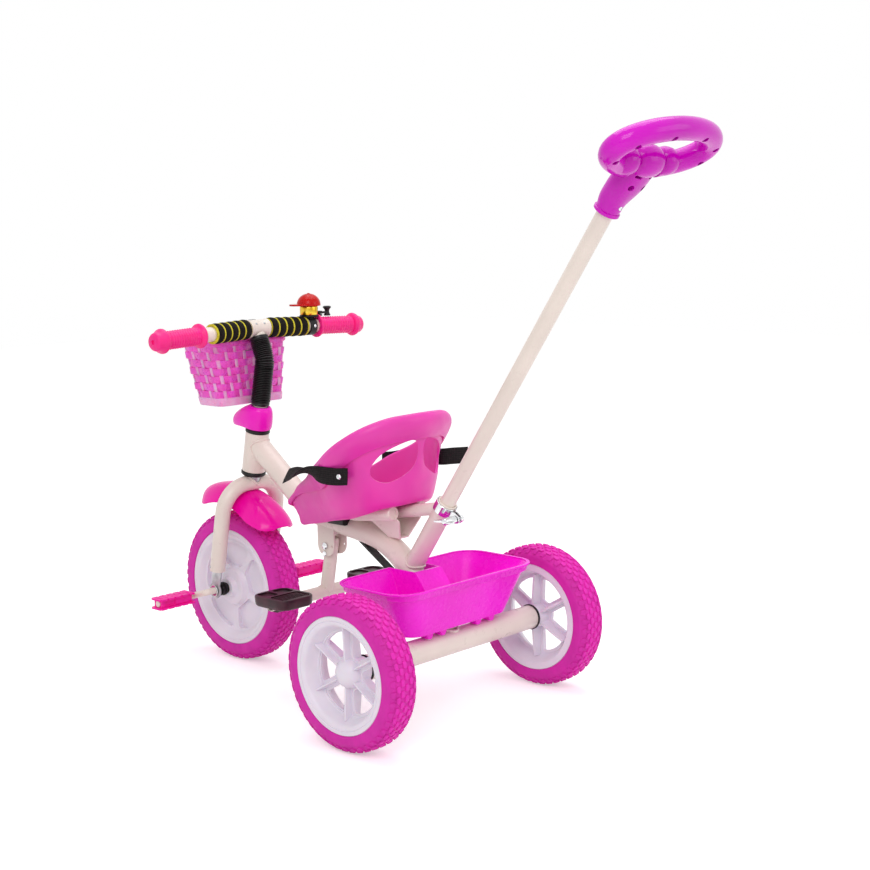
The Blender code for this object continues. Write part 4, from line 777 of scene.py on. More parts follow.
def tyre_shape(radius, half, seat, well, blocks, look):
    """A moulded tyre: a smooth body and rows of low blocks round its tread."""
    depth = bpy.context.scene.tricycle_sizes.tread_depth / MM
    upper = [(well, half - 7.0), (seat, half - 6.0), (seat, half - 1.0), (seat + 1.2, half)]
    steps = 12
    for k in range(steps, -1, -1):
        along = (half - SHOULDER) + SHOULDER * math.pi / 2.0 * k / steps
        # The ground between the blocks rises to the sidewall over the last quarter of the shoulder
        ground = -depth if k < 9 else -depth * (steps - k) / 4.0
        reach, height = crown_point(along, radius, half, ground)
        upper.append((reach, min(height, half)))
    upper.append((radius - depth, 4.0))
    body = hoop(upper, 120)
    pitch = math.tau * radius / blocks
    wide = pitch * 0.37
    blunt = pitch * 0.24
    shapes = []
    # Each row of six-sided blocks: its two edges across the tread and its share of a pitch round it
    rows = ((-3.3, 3.3, 0.0), (4.4, 10.8, 0.5), (-10.8, -4.4, 0.5), (11.9, 18.2, 0.0), (-18.2, -11.9, 0.0))
    for low, high, phase in rows:
        middle = (low + high) / 2.0
        start = phase * pitch
        corners = [
            (low, start - blunt), (middle, start - wide), (high, start - blunt),
            (high, start + blunt), (middle, start + wide), (low, start + blunt),
        ]
        shapes.append(tread_block(corners, radius, half, depth))
    start = 0.5 * pitch
    for side in HANDS:
        corners = [
            (19.3 * side, start - wide), (26.5 * side, start - blunt),
            (26.5 * side, start + blunt), (19.3 * side, start + wide),
        ]
        shapes.append(tread_block(corners, radius, half, depth))
    return joined([body, repeated(joined(shapes), blocks, look, math.tau / blocks)])


def window(start, end, inner, outer, half_bar, corner):
    """The outline of an opening between two parallel-sided spokes, with rounded corners."""
    points = []
    for radius, count, forward in ((inner, 2, True), (outer, 5, False)):
        margin = math.asin(half_bar / radius)
        angles = [start + margin + (end - start - 2 * margin) * k / (count - 1) for k in range(count)]
        for a in angles if forward else reversed(angles):
            points.append((radius * math.cos(a), radius * math.sin(a)))
    return outline(points, corner, 4)


def rib_blade(inner, outer, low, high_inner, high_outer, half_base, half_top):
    """A tapered rib along X with a narrow top edge."""
    rings = []
    for reach, high in ((inner, high_inner), (outer, high_outer)):
        section = [(-half_base, low), (half_base, low), (half_top, high - 0.5), (half_top * 0.5, high)]
        section += [(-half_top * 0.5, high), (-half_top, high - 0.5)]
        rings.append([Vector((reach, a, b)) for a, b in section])
    return skin(rings)


def rear_rim_shape():
    """A deep six-spoke rim about Z, with its outer face up."""
    profile = [
        (0.0, 19.0), (5.0, 18.6), (10.0, 17.2), (14.6, 14.4), (17.6, 11.0), (19.6, 7.4), (20.2, 5.0),
        (20.4, 2.0),
        (56.6, 2.0), (57.0, 3.6), (58.4, 3.8), (59.4, 3.6), (60.4, 5.0), (65.2, 17.5), (66.6, 20.4),
        (69.0, 22.0),
        (72.4, 22.6), (72.9, 22.0), (73.6, 22.0), (74.1, 23.0), (REAR_RIM_R - 0.8, 23.2), (REAR_RIM_R, 22.4),
        (REAR_RIM_R, 18.2), (73.7, 17.2), (73.7, -17.2), (REAR_RIM_R, -18.2), (REAR_RIM_R, -22.4),
        (REAR_RIM_R - 0.8, -23.2), (70.0, -23.0), (68.0, -21.4), (61.0, -4.0), (59.4, -2.2),
        (18.0, -2.2), (17.4, -23.0), (16.4, -24.0), (ROD_R + 0.6, -24.0), (ROD_R + 0.6, 6.6), (0.0, 6.6),
    ]
    rim = turned(profile, 96)
    cuts = []
    for k in range(6):
        start = math.pi / 2.0 + math.tau * k / 6
        cuts.append(prism(window(start, start + math.tau / 6, 24.0, 55.4, 7.0, 4.0), -12, 12, "z"))
    rim = carved(rim, joined(cuts))
    front = rib_blade(16.0, 62.5, 1.0, 11.0, 13.5, 2.4, 1.3)
    back = rib_blade(14.0, 62.0, -1.0, -19.0, -14.0, 2.6, 1.6)
    ribs = joined([front, back])
    turn = Matrix.Rotation(math.pi / 2.0, 4, "Z")
    bmesh.ops.transform(ribs, matrix=turn, verts=ribs.verts)
    return rim, repeated(ribs, 6, "rim", math.tau / 6)


def front_rim_shape():
    """A dished front rim about Z, with five closed pockets in each face."""
    # The hub's dome, the pocketed web and the bead seat, from the bore outwards
    upper = [
        (ROD_R + 0.6, 33.0), (14.6, 33.0), (15.5, 32.2), (17.0, 27.0), (18.6, 25.0), (26.0, 24.0), (28.0, 22.6),
        (30.5, 16.4), (32.0, 15.0), (71.5, 15.0), (73.5, 15.8), (78.6, 22.0), (80.6, 23.0), (84.6, 23.4),
        (85.2, 22.8), (86.0, 22.8), (86.6, 23.4), (FRONT_RIM_R - 0.8, 23.6), (FRONT_RIM_R, 22.8),
        (FRONT_RIM_R, 19.3), (86.5, 18.3),
    ]
    rim = hoop(upper, 100)
    cuts = []
    for low, high in ((8.0, 20.0), (-20.0, -8.0)):
        for k in range(5):
            start = math.pi / 2.0 + math.tau * k / 5
            cuts.append(prism(window(start, start + math.tau / 5, 36.0, 70.0, 5.5, 8.0), low, high, "z"))
    return carved(rim, joined(cuts))


def build_wheels():
    """Tyres and rims of the three wheels."""
    sizes = bpy.context.scene.tricycle_sizes
    for name, hand in SIDES:
        centre = Vector((0.0, REAR_Y * hand, REAR_R))
        outward = LEFT * hand
        body = "rear_wheel_" + name
        foam = foam_tyre("EVA foam " + name, centre, REAR_R)
        tyre = tyre_shape(REAR_R, 23.9, REAR_RIM_R + 0.2, 74.4, sizes.rear_blocks, foam)
        piece("tyre_rear_" + name, placed(tyre, centre, outward), foam, body, "rear_tyre_" + name)
        rim, ribs = (placed(shape, centre, outward) for shape in rear_rim_shape())
        piece("rim_rear_" + name, rim, "rim", body, "rear_rim_" + name, bevel=0.7)
        piece("rim_ribs_" + name, ribs, "rim", body, bevel=0.4)
        seal = hoop([(ROD_R + 0.4, 1.8), (18.3, 1.8), (18.9, 1.2)], 48)
        seal = placed(seal, (0.0, (AXLE_TUBE_HALF + 0.2) * hand, REAR_R), LEFT)
        piece("axle_seal_" + name, seal, "black", "frame")
    foam = foam_tyre("EVA foam front", FRONT_CENTRE, FRONT_R)
    tyre = tyre_shape(FRONT_R, 24.8, FRONT_RIM_R + 0.2, 87.3, sizes.front_blocks, foam)
    piece("tyre_front", placed(tyre, FRONT_CENTRE, LEFT), foam, "front_wheel", "front_tyre")
    rim = placed(front_rim_shape(), FRONT_CENTRE, LEFT)
    piece("rim_front", rim, "rim", "front_wheel", "front_rim", bevel=0.8)


# Frame

MAIN_ROUTE = [
    (409.0, 354.0), (380.0, 331.6), (350.0, 308.5), (320.0, 285.0), (287.0, 262.0), (250.0, 252.5),
    (205.0, 246.5), (177.0, 242.6), (152.0, 238.5), (130.0, 232.5), (109.0, 222.4), (87.0, 206.0),
    (60.0, 177.0), (8.0, 115.0),
]
MAIN_R = 17.0
HEAD_R = 18.25
AXLE_TUBE_R = 17.5
SOCKET_LENGTH = 121.0
SOCKET_R = 13.75
STRUT_R = 9.0
RAIL_Y = 29.0
RAIL_R = 10.6
RAIL_BACK = 80.0
RAIL_FRONT = 179.0
RAIL_FALL = 0.118


def bead(centre, ahead, radius, target, axis, target_radius, size=1.7):
    """A weld bead where a tube that runs ahead from a point meets a round bar."""
    ahead = Vector(ahead).normalized()
    axis = Vector(axis).normalized()
    side = ahead.cross(axis).normalized()
    up = side.cross(ahead)
    path = []
    count = 72
    for k in range(count):
        angle = math.tau * k / count
        start = Vector(centre) + (side * math.cos(angle) + up * math.sin(angle)) * (radius + 0.3)
        offset = start - Vector(target)
        flat_offset = offset - axis * offset.dot(axis)
        flat_ahead = ahead - axis * ahead.dot(axis)
        a = flat_ahead.dot(flat_ahead)
        b = flat_offset.dot(flat_ahead)
        c = flat_offset.dot(flat_offset) - (target_radius + 0.2) ** 2
        room = b * b - a * c
        reach = (-b - math.sqrt(max(room, 0.0))) / a
        path.append(start + ahead * reach)
    # The bead swells and thins in ripples about 2.4 mm apart
    scales = [size * (1.0 + 0.16 * math.sin(k * math.tau / 3.0)) for k in range(count)]
    return sweep(path, circle(1.0, 8), ahead, scales, True)


def rail_z(x):
    """Height of the seat rail's centreline."""
    return 280.0 - RAIL_FALL * (x - 100.0)


def build_frame():
    """The painted tubes of the frame, with the welds between them."""
    route = [Vector((x, 0.0, z)) for x, z in MAIN_ROUTE]
    # The tube's upper end is drawn back a little inside the head tube's wall
    route[0] -= (route[0] - route[1]).normalized() * 4.0
    tube = sweep(smooth(route, 4), circle(MAIN_R, 48), LEFT)
    piece("tube_main", tube, "paint", "frame", "main_tube")
    middle = steer(0, 0, (HEAD_LOW + HEAD_HIGH) / 2.0)
    half = (HEAD_HIGH - HEAD_LOW) / 2.0
    head = hoop([(14.0, half), (HEAD_R - 0.9, half), (HEAD_R - 0.25, half - 0.3), (HEAD_R, half - 1.0)], 72)
    piece("tube_head", placed(head, middle, STEER_UP), "paint", "frame", "head_tube")
    half = AXLE_TUBE_HALF
    wall = [
        (ROD_R + 0.3, half - 16.0), (ROD_R + 0.3, half), (AXLE_TUBE_R - 1.2, half),
        (AXLE_TUBE_R - 0.3, half - 0.4), (AXLE_TUBE_R, half - 1.4),
    ]
    axle = hoop(wall, 72)
    piece("tube_axle", placed(axle, (0, 0, REAR_R), LEFT), "paint", "frame", "rear_axle_tube")
    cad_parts["rear_axle_rod"].data.materials.clear()
    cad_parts["rear_axle_rod"].data.materials.append(finish("zinc")[0])

    end = SOCKET_LENGTH
    wall = [
        (0.0, -12.0), (SOCKET_R, -12.0), (SOCKET_R, end - 0.6), (SOCKET_R - 0.6, end), (12.0, end),
        (11.4, end - 0.6), (11.4, 60.0), (0.0, 60.0),
    ]
    socket = placed(turned(wall, 64), POLE_LOW, POLE_AXIS)
    piece("tube_socket", socket, "paint", "frame", "pole_socket")
    front = Vector((162, 0, 267))
    strut = rod(front, Vector((20, 0, 292.5)).lerp(front, 0.02), STRUT_R, 40)
    strut = carved(strut, rod(POLE_LOW, pole(140.0), SOCKET_R + 0.1, 48))
    piece("tube_strut", strut, "paint", "frame", "pole_strut")

    stops = ((RAIL_BACK, RAIL_Y), (RAIL_FRONT, RAIL_Y), (RAIL_FRONT, -RAIL_Y), (RAIL_BACK, -RAIL_Y))
    path = rounded([(x, y, rail_z(x)) for x, y in stops], RAIL_Y - 0.5, 16)
    plane = Vector((RAIL_FALL, 0.0, 1.0)).normalized()
    # Each end narrows over its last 1.6 mm
    left = path[0] + (path[1] - path[0]).normalized() * 1.6
    right = path[-1] + (path[-2] - path[-1]).normalized() * 1.6
    path = [path[0], left] + path[1:-1] + [right, path[-1]]
    scales = [9.2] + [RAIL_R] * (len(path) - 2) + [9.2]
    rail = sweep(path, circle(1.0, 36), plane, scales)
    for y in (RAIL_Y, -RAIL_Y):
        low_end = Vector((79.0, y, rail_z(79.0)))
        rail = carved(rail, rod(low_end, low_end + Vector((3.0, 0.0, -0.35)), 7.0, 32))
    piece("tube_rail", rail, "paint", "frame", "seat_rail")
    piece("bracket_seat", from_node("seat_bracket"), "paint", "frame", "seat_bracket", bevel=0.7)
    piece("block_seat", from_node("seat_block"), "black", "frame", "seat_block", bevel=0.8)
    piece("stay_arch", from_node("arch_stay"), "black", "frame", "arch_stay", bevel=0.6)

    # A point, way and radius of each tube that ends, then those of the bar that it meets, and the bead's size
    welds = (
        (route[2], route[0] - route[1], MAIN_R, steer(0, 0, HEAD_LOW), STEER_UP, HEAD_R, 2.0),
        (route[-2], route[-1] - route[-2], MAIN_R - 1.2, (0, 0, REAR_R), LEFT, AXLE_TUBE_R, 2.4),
        ((100.0, 0.0, 278.0), (-146.0, 0.0, 26.5), STRUT_R, POLE_LOW, POLE_AXIS, SOCKET_R, 1.3),
        (pole(60.0), -POLE_AXIS, SOCKET_R, route[11], (100.0, 0.0, 67.6), MAIN_R, 1.6),
    )
    piece("weld_beads", [bead(*weld) for weld in welds], "paint", "frame")


def build_fork():
    """The fork with its steerer and dropouts."""
    stops = ((FORK_Y, 34.0), (FORK_Y, FORK_CROWN), (-FORK_Y, FORK_CROWN), (-FORK_Y, 34.0))
    legs = [steer(0, y, level) for y, level in stops]
    side = steer(1, 0, 0) - steer(0, 0, 0)
    fork = sweep(rounded(legs, 43.0, 14), circle(FORK_R, 44), side)
    for foot in (legs[0], legs[3]):
        fork = carved(fork, sweep([foot - STEER_UP * 4, foot + STEER_UP * 26], circle(10.2, 32), side))
    piece("tube_fork", fork, "paint", "steering", "fork_tube")
    steerer = rod(steer(0, 0, 176.0), steer(0, 0, 297.0), FORK_R, 48)
    piece("tube_steerer", steerer, "zinc", "steering", "steerer_tube")
    weld = bead(steer(0, 0, 230.0), -STEER_UP, FORK_R, steer(0, 0, FORK_CROWN), LEFT, FORK_R, 1.8)
    piece("weld_fork", weld, "paint", "steering")
    nodes = ["fork_dropout_left", "fork_dropout_right"]
    piece("plates_dropout", from_node(*nodes), "zinc", "steering", *nodes, bevel=0.5)
    rivets = []
    for hand in HANDS:
        dome = turned([(0.0, 1.2), (1.4, 1.0), (2.2, 0.4), (2.5, -0.8), (0.0, -0.8)], 24)
        rivets.append(placed(dome, steer(4.5, FORK_Y * hand + 11.1 * hand, 40.0), LEFT * hand))
    piece("rivets_fork", rivets, "zinc", "steering")


def build_fender():
    """The crowned fender between the fork's legs."""
    # Angle round the wheel from straight ahead, radius, half width and how far the sides droop
    stations = [
        (134.5, 149.0, 17.0, 6.0), (132.0, 150.5, 30.0, 13.0), (127.0, 152.5, 37.5, 19.0),
        (119.0, 155.5, 41.0, 25.0), (112.0, 158.0, 40.0, 27.0), (106.0, 159.5, 38.0, 27.0),
        (98.0, 161.0, 38.0, 26.0), (91.0, 163.0, 39.0, 25.0), (84.0, 165.5, 41.0, 27.0),
        (77.0, 167.0, 41.0, 29.0), (72.0, 167.0, 39.0, 29.0), (68.0, 166.0, 33.0, 24.0),
        (65.6, 164.0, 24.0, 15.0), (64.6, 162.0, 12.0, 6.0),
    ]
    pairs = smooth([(angle, radius, half) for angle, radius, half, _ in stations], 4)
    droops = smooth([(droop, 0.0, 0.0) for _, _, _, droop in stations], 4)
    columns = 24
    bm = bmesh.new()
    rows = []
    for spot, droop in zip(pairs, droops):
        row = []
        for k in range(columns + 1):
            t = 2.0 * k / columns - 1.0
            t = math.copysign(abs(t) ** 0.8, t)
            reach = spot.y - droop.x * abs(t) ** 2.7
            turn = math.radians(spot.x)
            point = FRONT_CENTRE + Vector((reach * math.cos(turn), spot.z * t, reach * math.sin(turn)))
            row.append(bm.verts.new(point))
        rows.append(row)
    bridge(bm, rows, around=False)
    bmesh.ops.recalc_face_normals(bm, faces=bm.faces)
    bm.normal_update()
    if sum(face.normal.z for face in bm.faces) < 0:
        bmesh.ops.reverse_faces(bm, faces=bm.faces)
    shell = thickened(bm, 2.6)
    piece("fender", shell, "fender", "steering", "front_fender", bevel=0.9)


PEDAL_INNER = 79.5
PEDAL_LENGTH = 67.5
CRANK_Y = 72.3
CRANK_END = 143.0
CRANK_THROW = 34.0


def build_drive():
    """Cranks, bushes, washers and the two block pedals."""
    drop = math.radians(17.0)
    throw = Vector((math.cos(drop), 0.0, -math.sin(drop))) * CRANK_THROW
    stops = [
        (-1.0, -CRANK_END), (-1.0, -CRANK_Y), (0.0, -CRANK_Y), (0.0, CRANK_Y), (1.0, CRANK_Y),
        (1.0, CRANK_END),
    ]
    stops = [FRONT_CENTRE + throw * share + LEFT * y for share, y in stops]
    side = Vector((math.sin(drop), 0.0, math.cos(drop)))
    crank = sweep(rounded(stops, 6.5, 10), circle(ROD_R, 28), side)
    piece("cranks", crank, "paint", "front_wheel", "crank_axle")
    washers = []
    for name, hand in SIDES:
        profile = [
            (ROD_R + 0.5, 9.3), (10.4, 9.3), (10.8, 8.6), (10.8, 7.4), (8.6, 6.6), (8.6, 4.6), (10.0, 4.0),
            (10.0, 1.6), (8.6, 1.0), (8.6, -1.6), (10.6, -2.4), (10.6, -5.2), (8.8, -6.0), (8.8, -9.3),
            (ROD_R + 0.5, -9.3),
        ]
        bush = placed(turned(profile, 48, True), FRONT_CENTRE + LEFT * 43.0 * hand, LEFT * hand)
        piece("bush_" + name, bush, "black", "front_wheel", "front_bush_" + name)
        ring = hoop([(ROD_R + 0.2, 0.6), (8.4, 0.6), (8.8, 0.2)], 40)
        washers.append(placed(ring, FRONT_CENTRE + LEFT * 57.4 * hand, LEFT))
        build_pedal(name, hand, FRONT_CENTRE + throw * hand)
    piece("washers_front", washers, "chrome", "front_wheel")


def build_pedal(name, hand, pin):
    """A block pedal: two toothed tread plates on a bored core with open windows."""

    def block(pairs, start, stop):
        """A bar along the pin, from its section about the pin's middle."""
        low, high = sorted((start * hand, stop * hand))
        return prism([(pin.x + a, pin.z + b) for a, b in pairs], low, high)

    pitch = PEDAL_LENGTH / 5.0
    teeth = []
    for k in range(5):
        start = pitch * k
        teeth += [(start + 1.0, 13.5), (start + pitch - 3.0, 13.5)]
        teeth += [(start + pitch - 2.4, 10.6), (start + pitch - 0.2, 10.6)]
    edge = teeth + [(y, -x) for y, x in reversed(teeth)]
    shapes = []
    for z in (5.6, -8.5):
        rings = []
        for level in (z, z + 2.9):
            rings.append([pin + Vector((x, (PEDAL_INNER + y) * hand - pin.y, level)) for y, x in edge])
        shapes.append(skin(rings))
    core = outline(rectangle(-9.5, 9.5, -6.0, 6.0), 1.5, 3)
    core = block(core, PEDAL_INNER + 4.0, PEDAL_INNER + PEDAL_LENGTH - 5.0)
    windows = [rectangle(x, x + 5.0, -3.6, 3.6) for x in (7.0, -12.0)]
    core = carved(core, joined([block(pairs, PEDAL_INNER + 36.0, PEDAL_INNER + 56.0) for pairs in windows]))
    low = pin + LEFT * (PEDAL_INNER - 2.0) * hand
    shapes.append(carved(core, rod(low, low + LEFT * 66.0 * hand, ROD_R + 0.6, 32)))
    # Bosses across the plates, in a row down the middle
    bosses = [outline(rectangle(-6.0, 6.0, z, z + 1.4), 0.5, 2) for z in (7.6, -9.0)]
    row = joined([block(pairs, 0.0, 3.4) for pairs in bosses])
    row = repeated(row, 6, "pedal", 0.0, (0.0, 10.0 * hand, 0.0))
    shapes.append(shifted(row, 0.0, (PEDAL_INNER + 7.0) * hand, 0.0))
    piece("block_pedal_" + name, shapes, "pedal", "pedal_" + name + "_body", "pedal_" + name, bevel=0.4)


# Seat, belts and bin

SEAT_PAN = [
    (249, 0, 285), (247, 12, 284), (238, 19, 282), (213, 34, 281), (180, 44, 282.5),
    (140, 46, 287), (110, 44, 290.5), (94, 34, 293), (84, 18, 295), (81, 0, 295.5),
]
SEAT_KEEL = [
    (254, 0, 288), (261, 17, 282), (270, 27, 263), (262, 36, 247), (238, 41, 250),
    (205, 48, 257), (178, 57, 264), (150, 64, 270), (126, 66, 275), (100, 63, 284),
    (82, 50, 292), (67, 30, 296), (62, 0, 297.5),
]
SEAT_RIM = [
    (260, 0, 293), (268, 16, 291), (282, 26, 281), (288, 35, 275), (278, 45, 282),
    (256, 53, 297), (240, 59, 309), (213, 66, 324), (188, 77, 340), (160, 91, 355),
    (134, 98, 373), (110, 97, 389.5), (91, 89, 402), (75, 74, 412), (62, 52, 419),
    (53, 27, 421.5), (49, 0, 422.5),
]
# The rolled edge beyond the rim, as (outwards, downwards, share of the wall's own slope)
SEAT_ROLL = [
    (1.6, -1.2, 0.0), (4.2, -0.6, 0.0), (6.4, 1.6, 0.0), (7.6, 5.0, 0.1), (7.8, 9.0, 0.3), (7.4, 13.0, 0.6),
    (6.6, 17.0, 0.9), (5.4, 21.0, 1.0), (3.8, 25.0, 1.0), (1.8, 29.0, 1.0), (0.4, 32.0, 1.0),
]
SEAT_HOLE = [
    (-23, 347), (-18, 359), (-4, 373), (20, 384), (38, 388), (44, 382), (44, 366), (36, 348), (17, 335),
    (-3, 330), (-19, 337),
]
SEAT_STEPS = 144


def way_out(loop, i):
    """The level direction out of a loop at one of its points."""
    along = loop[(i + 1) % len(loop)] - loop[i - 1]
    return Vector((along.y, -along.x, 0.0)).normalized()


def seat_loop(half):
    """A whole loop of the seat from its left half, with evenly spaced points."""
    right = [(x, -y, z) for x, y, z in reversed(half[1:-1])]
    return evenly(smooth(half + right, 12, True), SEAT_STEPS)


def hole_frame(hand):
    """The middle of a hand hole in plan, and its rearward and outward directions."""
    back = Vector((-0.72, -0.69 * hand, 0.0)).normalized()
    out = Vector((-0.69, 0.72 * hand, 0.0)).normalized()
    return Vector((60.0, 62.0 * hand, 0.0)), back, out


def build_seat():
    """The bucket seat: one moulded sheet with a rolled edge and two hand holes."""
    loops = [seat_loop(half) for half in (SEAT_PAN, SEAT_KEEL, SEAT_RIM)]
    edge = loops[2]
    columns = []
    for i in range(SEAT_STEPS):
        pan, keel, rim = (loop[i] for loop in loops)
        span = rim - keel
        stops = [pan, keel]
        for part in (0.28, 0.62):
            out = part**0.72
            stops.append(keel + Vector((span.x * out, span.y * out, span.z * part**1.22)))
        column = smooth(stops + [rim], 5)
        away = way_out(edge, i)
        soften = 1.0 - 0.92 * max(0.0, min(1.0, (rim.x - 175.0) / 85.0))
        wall = list(reversed(column[6:]))
        for outward, down, share in SEAT_ROLL:
            down *= soften
            outward *= 0.2 + 0.8 * soften
            lean = 0.0
            for high, low in zip(wall, wall[1:]):
                if high.z >= rim.z - down >= low.z:
                    lean = (high.lerp(low, (high.z - rim.z + down) / max(high.z - low.z, 0.01)) - rim).dot(away)
                    break
            column.append(rim + away * (outward + share * lean) - UP * down)
        columns.append(column)
    # A shallow dish under each hand hole, pressed out of the wall
    for column in columns:
        for k, point in enumerate(column[6:22]):
            hand = 1.0 if point.y > 0 else -1.0
            middle, back, out = hole_frame(hand)
            a = (point - middle).dot(back) - 6.0
            b = point.z - 352.0
            reach = (a / 44.0) ** 2 + (b / 24.0) ** 2
            if reach < 1.0 and abs(point.y) > 6.0:
                column[6 + k] = point - out * 3.2 * (1.0 - reach) ** 0.7
    bm = bmesh.new()
    made = [[bm.verts.new(point) for point in column] for column in columns]
    for i in range(SEAT_STEPS):
        after = made[(i + 1) % SEAT_STEPS]
        for k in range(len(after) - 1):
            bm.faces.new((made[i][k], after[k], after[k + 1], made[i][k + 1]))
    half = SEAT_STEPS // 2
    for i in range(half):
        corners = [made[i][0], made[i + 1][0], made[-i - 1][0]]
        if 0 < i < half - 1:
            corners.append(made[-i][0])
        elif i == half - 1:
            corners = [made[i][0], made[i + 1][0], made[-i][0]]
        bm.faces.new(corners)
    bmesh.ops.recalc_face_normals(bm, faces=bm.faces)
    bm.normal_update()
    if sum(face.normal.z for face in bm.faces if face.calc_center_median().z < 283.0) > 0:
        bmesh.ops.reverse_faces(bm, faces=bm.faces)
    shell = thickened(bm, 2.8)
    loop = evenly(smooth([(a, b, 0.0) for a, b in SEAT_HOLE], 8, True), 72)
    tools = []
    for hand in HANDS:
        centre, back, out = hole_frame(hand)
        rings = [[centre + back * p.x + UP * p.y + out * depth for p in loop] for depth in (-82.0, 30.0)]
        tools.append(skin(rings))
    shell = carved(shell, joined(tools), crossing=True)
    piece("seat", shell, "seat", "frame", "seat_shell", bevel=0.7)


STRAP_HALF = 12.5
STRAP_THICK = 1.6


def strap(route):
    """Flat webbing with its map in metres. Each stop is its centre and the vector to its upper edge."""
    centres = smooth([stop[0] for stop in route], 8)
    edges = smooth([stop[1] for stop in route], 8)
    last = len(centres) - 1
    bm = bmesh.new()
    layer = bm.loops.layers.uv.new("UVMap")
    rings = []
    places = {}
    run = 0.0
    for i, (centre, edge) in enumerate(zip(centres, edges)):
        if i:
            run += (centre - centres[i - 1]).length
        ahead = centres[min(i + 1, last)] - centres[max(i - 1, 0)]
        edge = edge.normalized() * STRAP_HALF
        face = ahead.cross(edge).normalized() * (STRAP_THICK / 2.0)
        ring = []
        # The selvedges are a little thinner than the middle
        across = [(t, 1.0 if abs(t) < 0.9 else 0.45) for t in (-1.0, -0.93, -0.5, 0.0, 0.5, 0.93, 1.0)]
        for t, full in across + [(t, -full) for t, full in reversed(across)]:
            vert = bm.verts.new(centre + edge * t + face * full)
            places[vert] = (run * MM, t * STRAP_HALF * MM)
            ring.append(vert)
        rings.append(ring)
    bridge(bm, rings)
    bm.faces.new(rings[0])
    bm.faces.new(list(reversed(rings[-1])))
    for face in bm.faces:
        for loop in face.loops:
            loop[layer].uv = places[loop.vert]
    return bm


def build_belts():
    """The two waist straps and the screws that hold them to the seat."""
    left = [
        ((98, 100, 343), (-2, 1, 13)), ((120, 103, 341), (-2, 0, 13)), ((142, 105, 341), (-1, 1, 13)),
        ((163, 105, 342), (0, 6, 11)), ((184, 101, 340), (4, 10, 2)), ((206, 94, 336), (6, 8, -7)),
        ((232, 83, 331), (6, 4, -11)), ((252, 77, 325), (5, 3, -11.5)),
    ]
    right = [
        ((226, -96, 330), (-3, 3, 12)), ((205, -98, 333), (-3, 3, 12)), ((183, -103, 337), (-2, 2, 13)),
        ((160, -108, 340), (-2, 1, 13)), ((137, -112.5, 341), (-2, 1, 13)), ((122, -118, 341), (0, 1, 13)),
        ((115, -133, 341), (0, 0, 13)), ((112, -150, 340), (0, 0, 13)), ((111, -164, 339), (0, 0, 13)),
    ]
    piece("strap_left", strap(left), "webbing", "frame", "belt_left")
    piece("strap_right", strap(right), "webbing", "frame", "belt_right")
    screws = []
    head = [
        (0.0, 0.9), (1.0, 0.9), (1.2, 1.6), (3.2, 1.3), (4.0, 0.4), (4.2, -0.4), (2.0, -0.6), (2.0, -15.0),
        (0.0, -15.0),
    ]
    for x, y, z, hand in ((112.0, 103.4, 342.0, 1.0), (130.0, -115.4, 341.0, -1.0)):
        screws.append(placed(turned(head, 32), (x, y, z), (0.02, hand, 0.1)))
    piece("screws_strap", screws, "chrome", "frame")


def plate_ring(x0, x1, half, corner, z):
    """A level loop of points round a rounded rectangle."""
    pairs = outline(rectangle(x0, x1, -half, half), corner, 9)
    return [Vector((x, y, z)) for x, y in pairs]


# The photograph shows the bin a little further back than its solid stands
BIN_BACK = -7.0


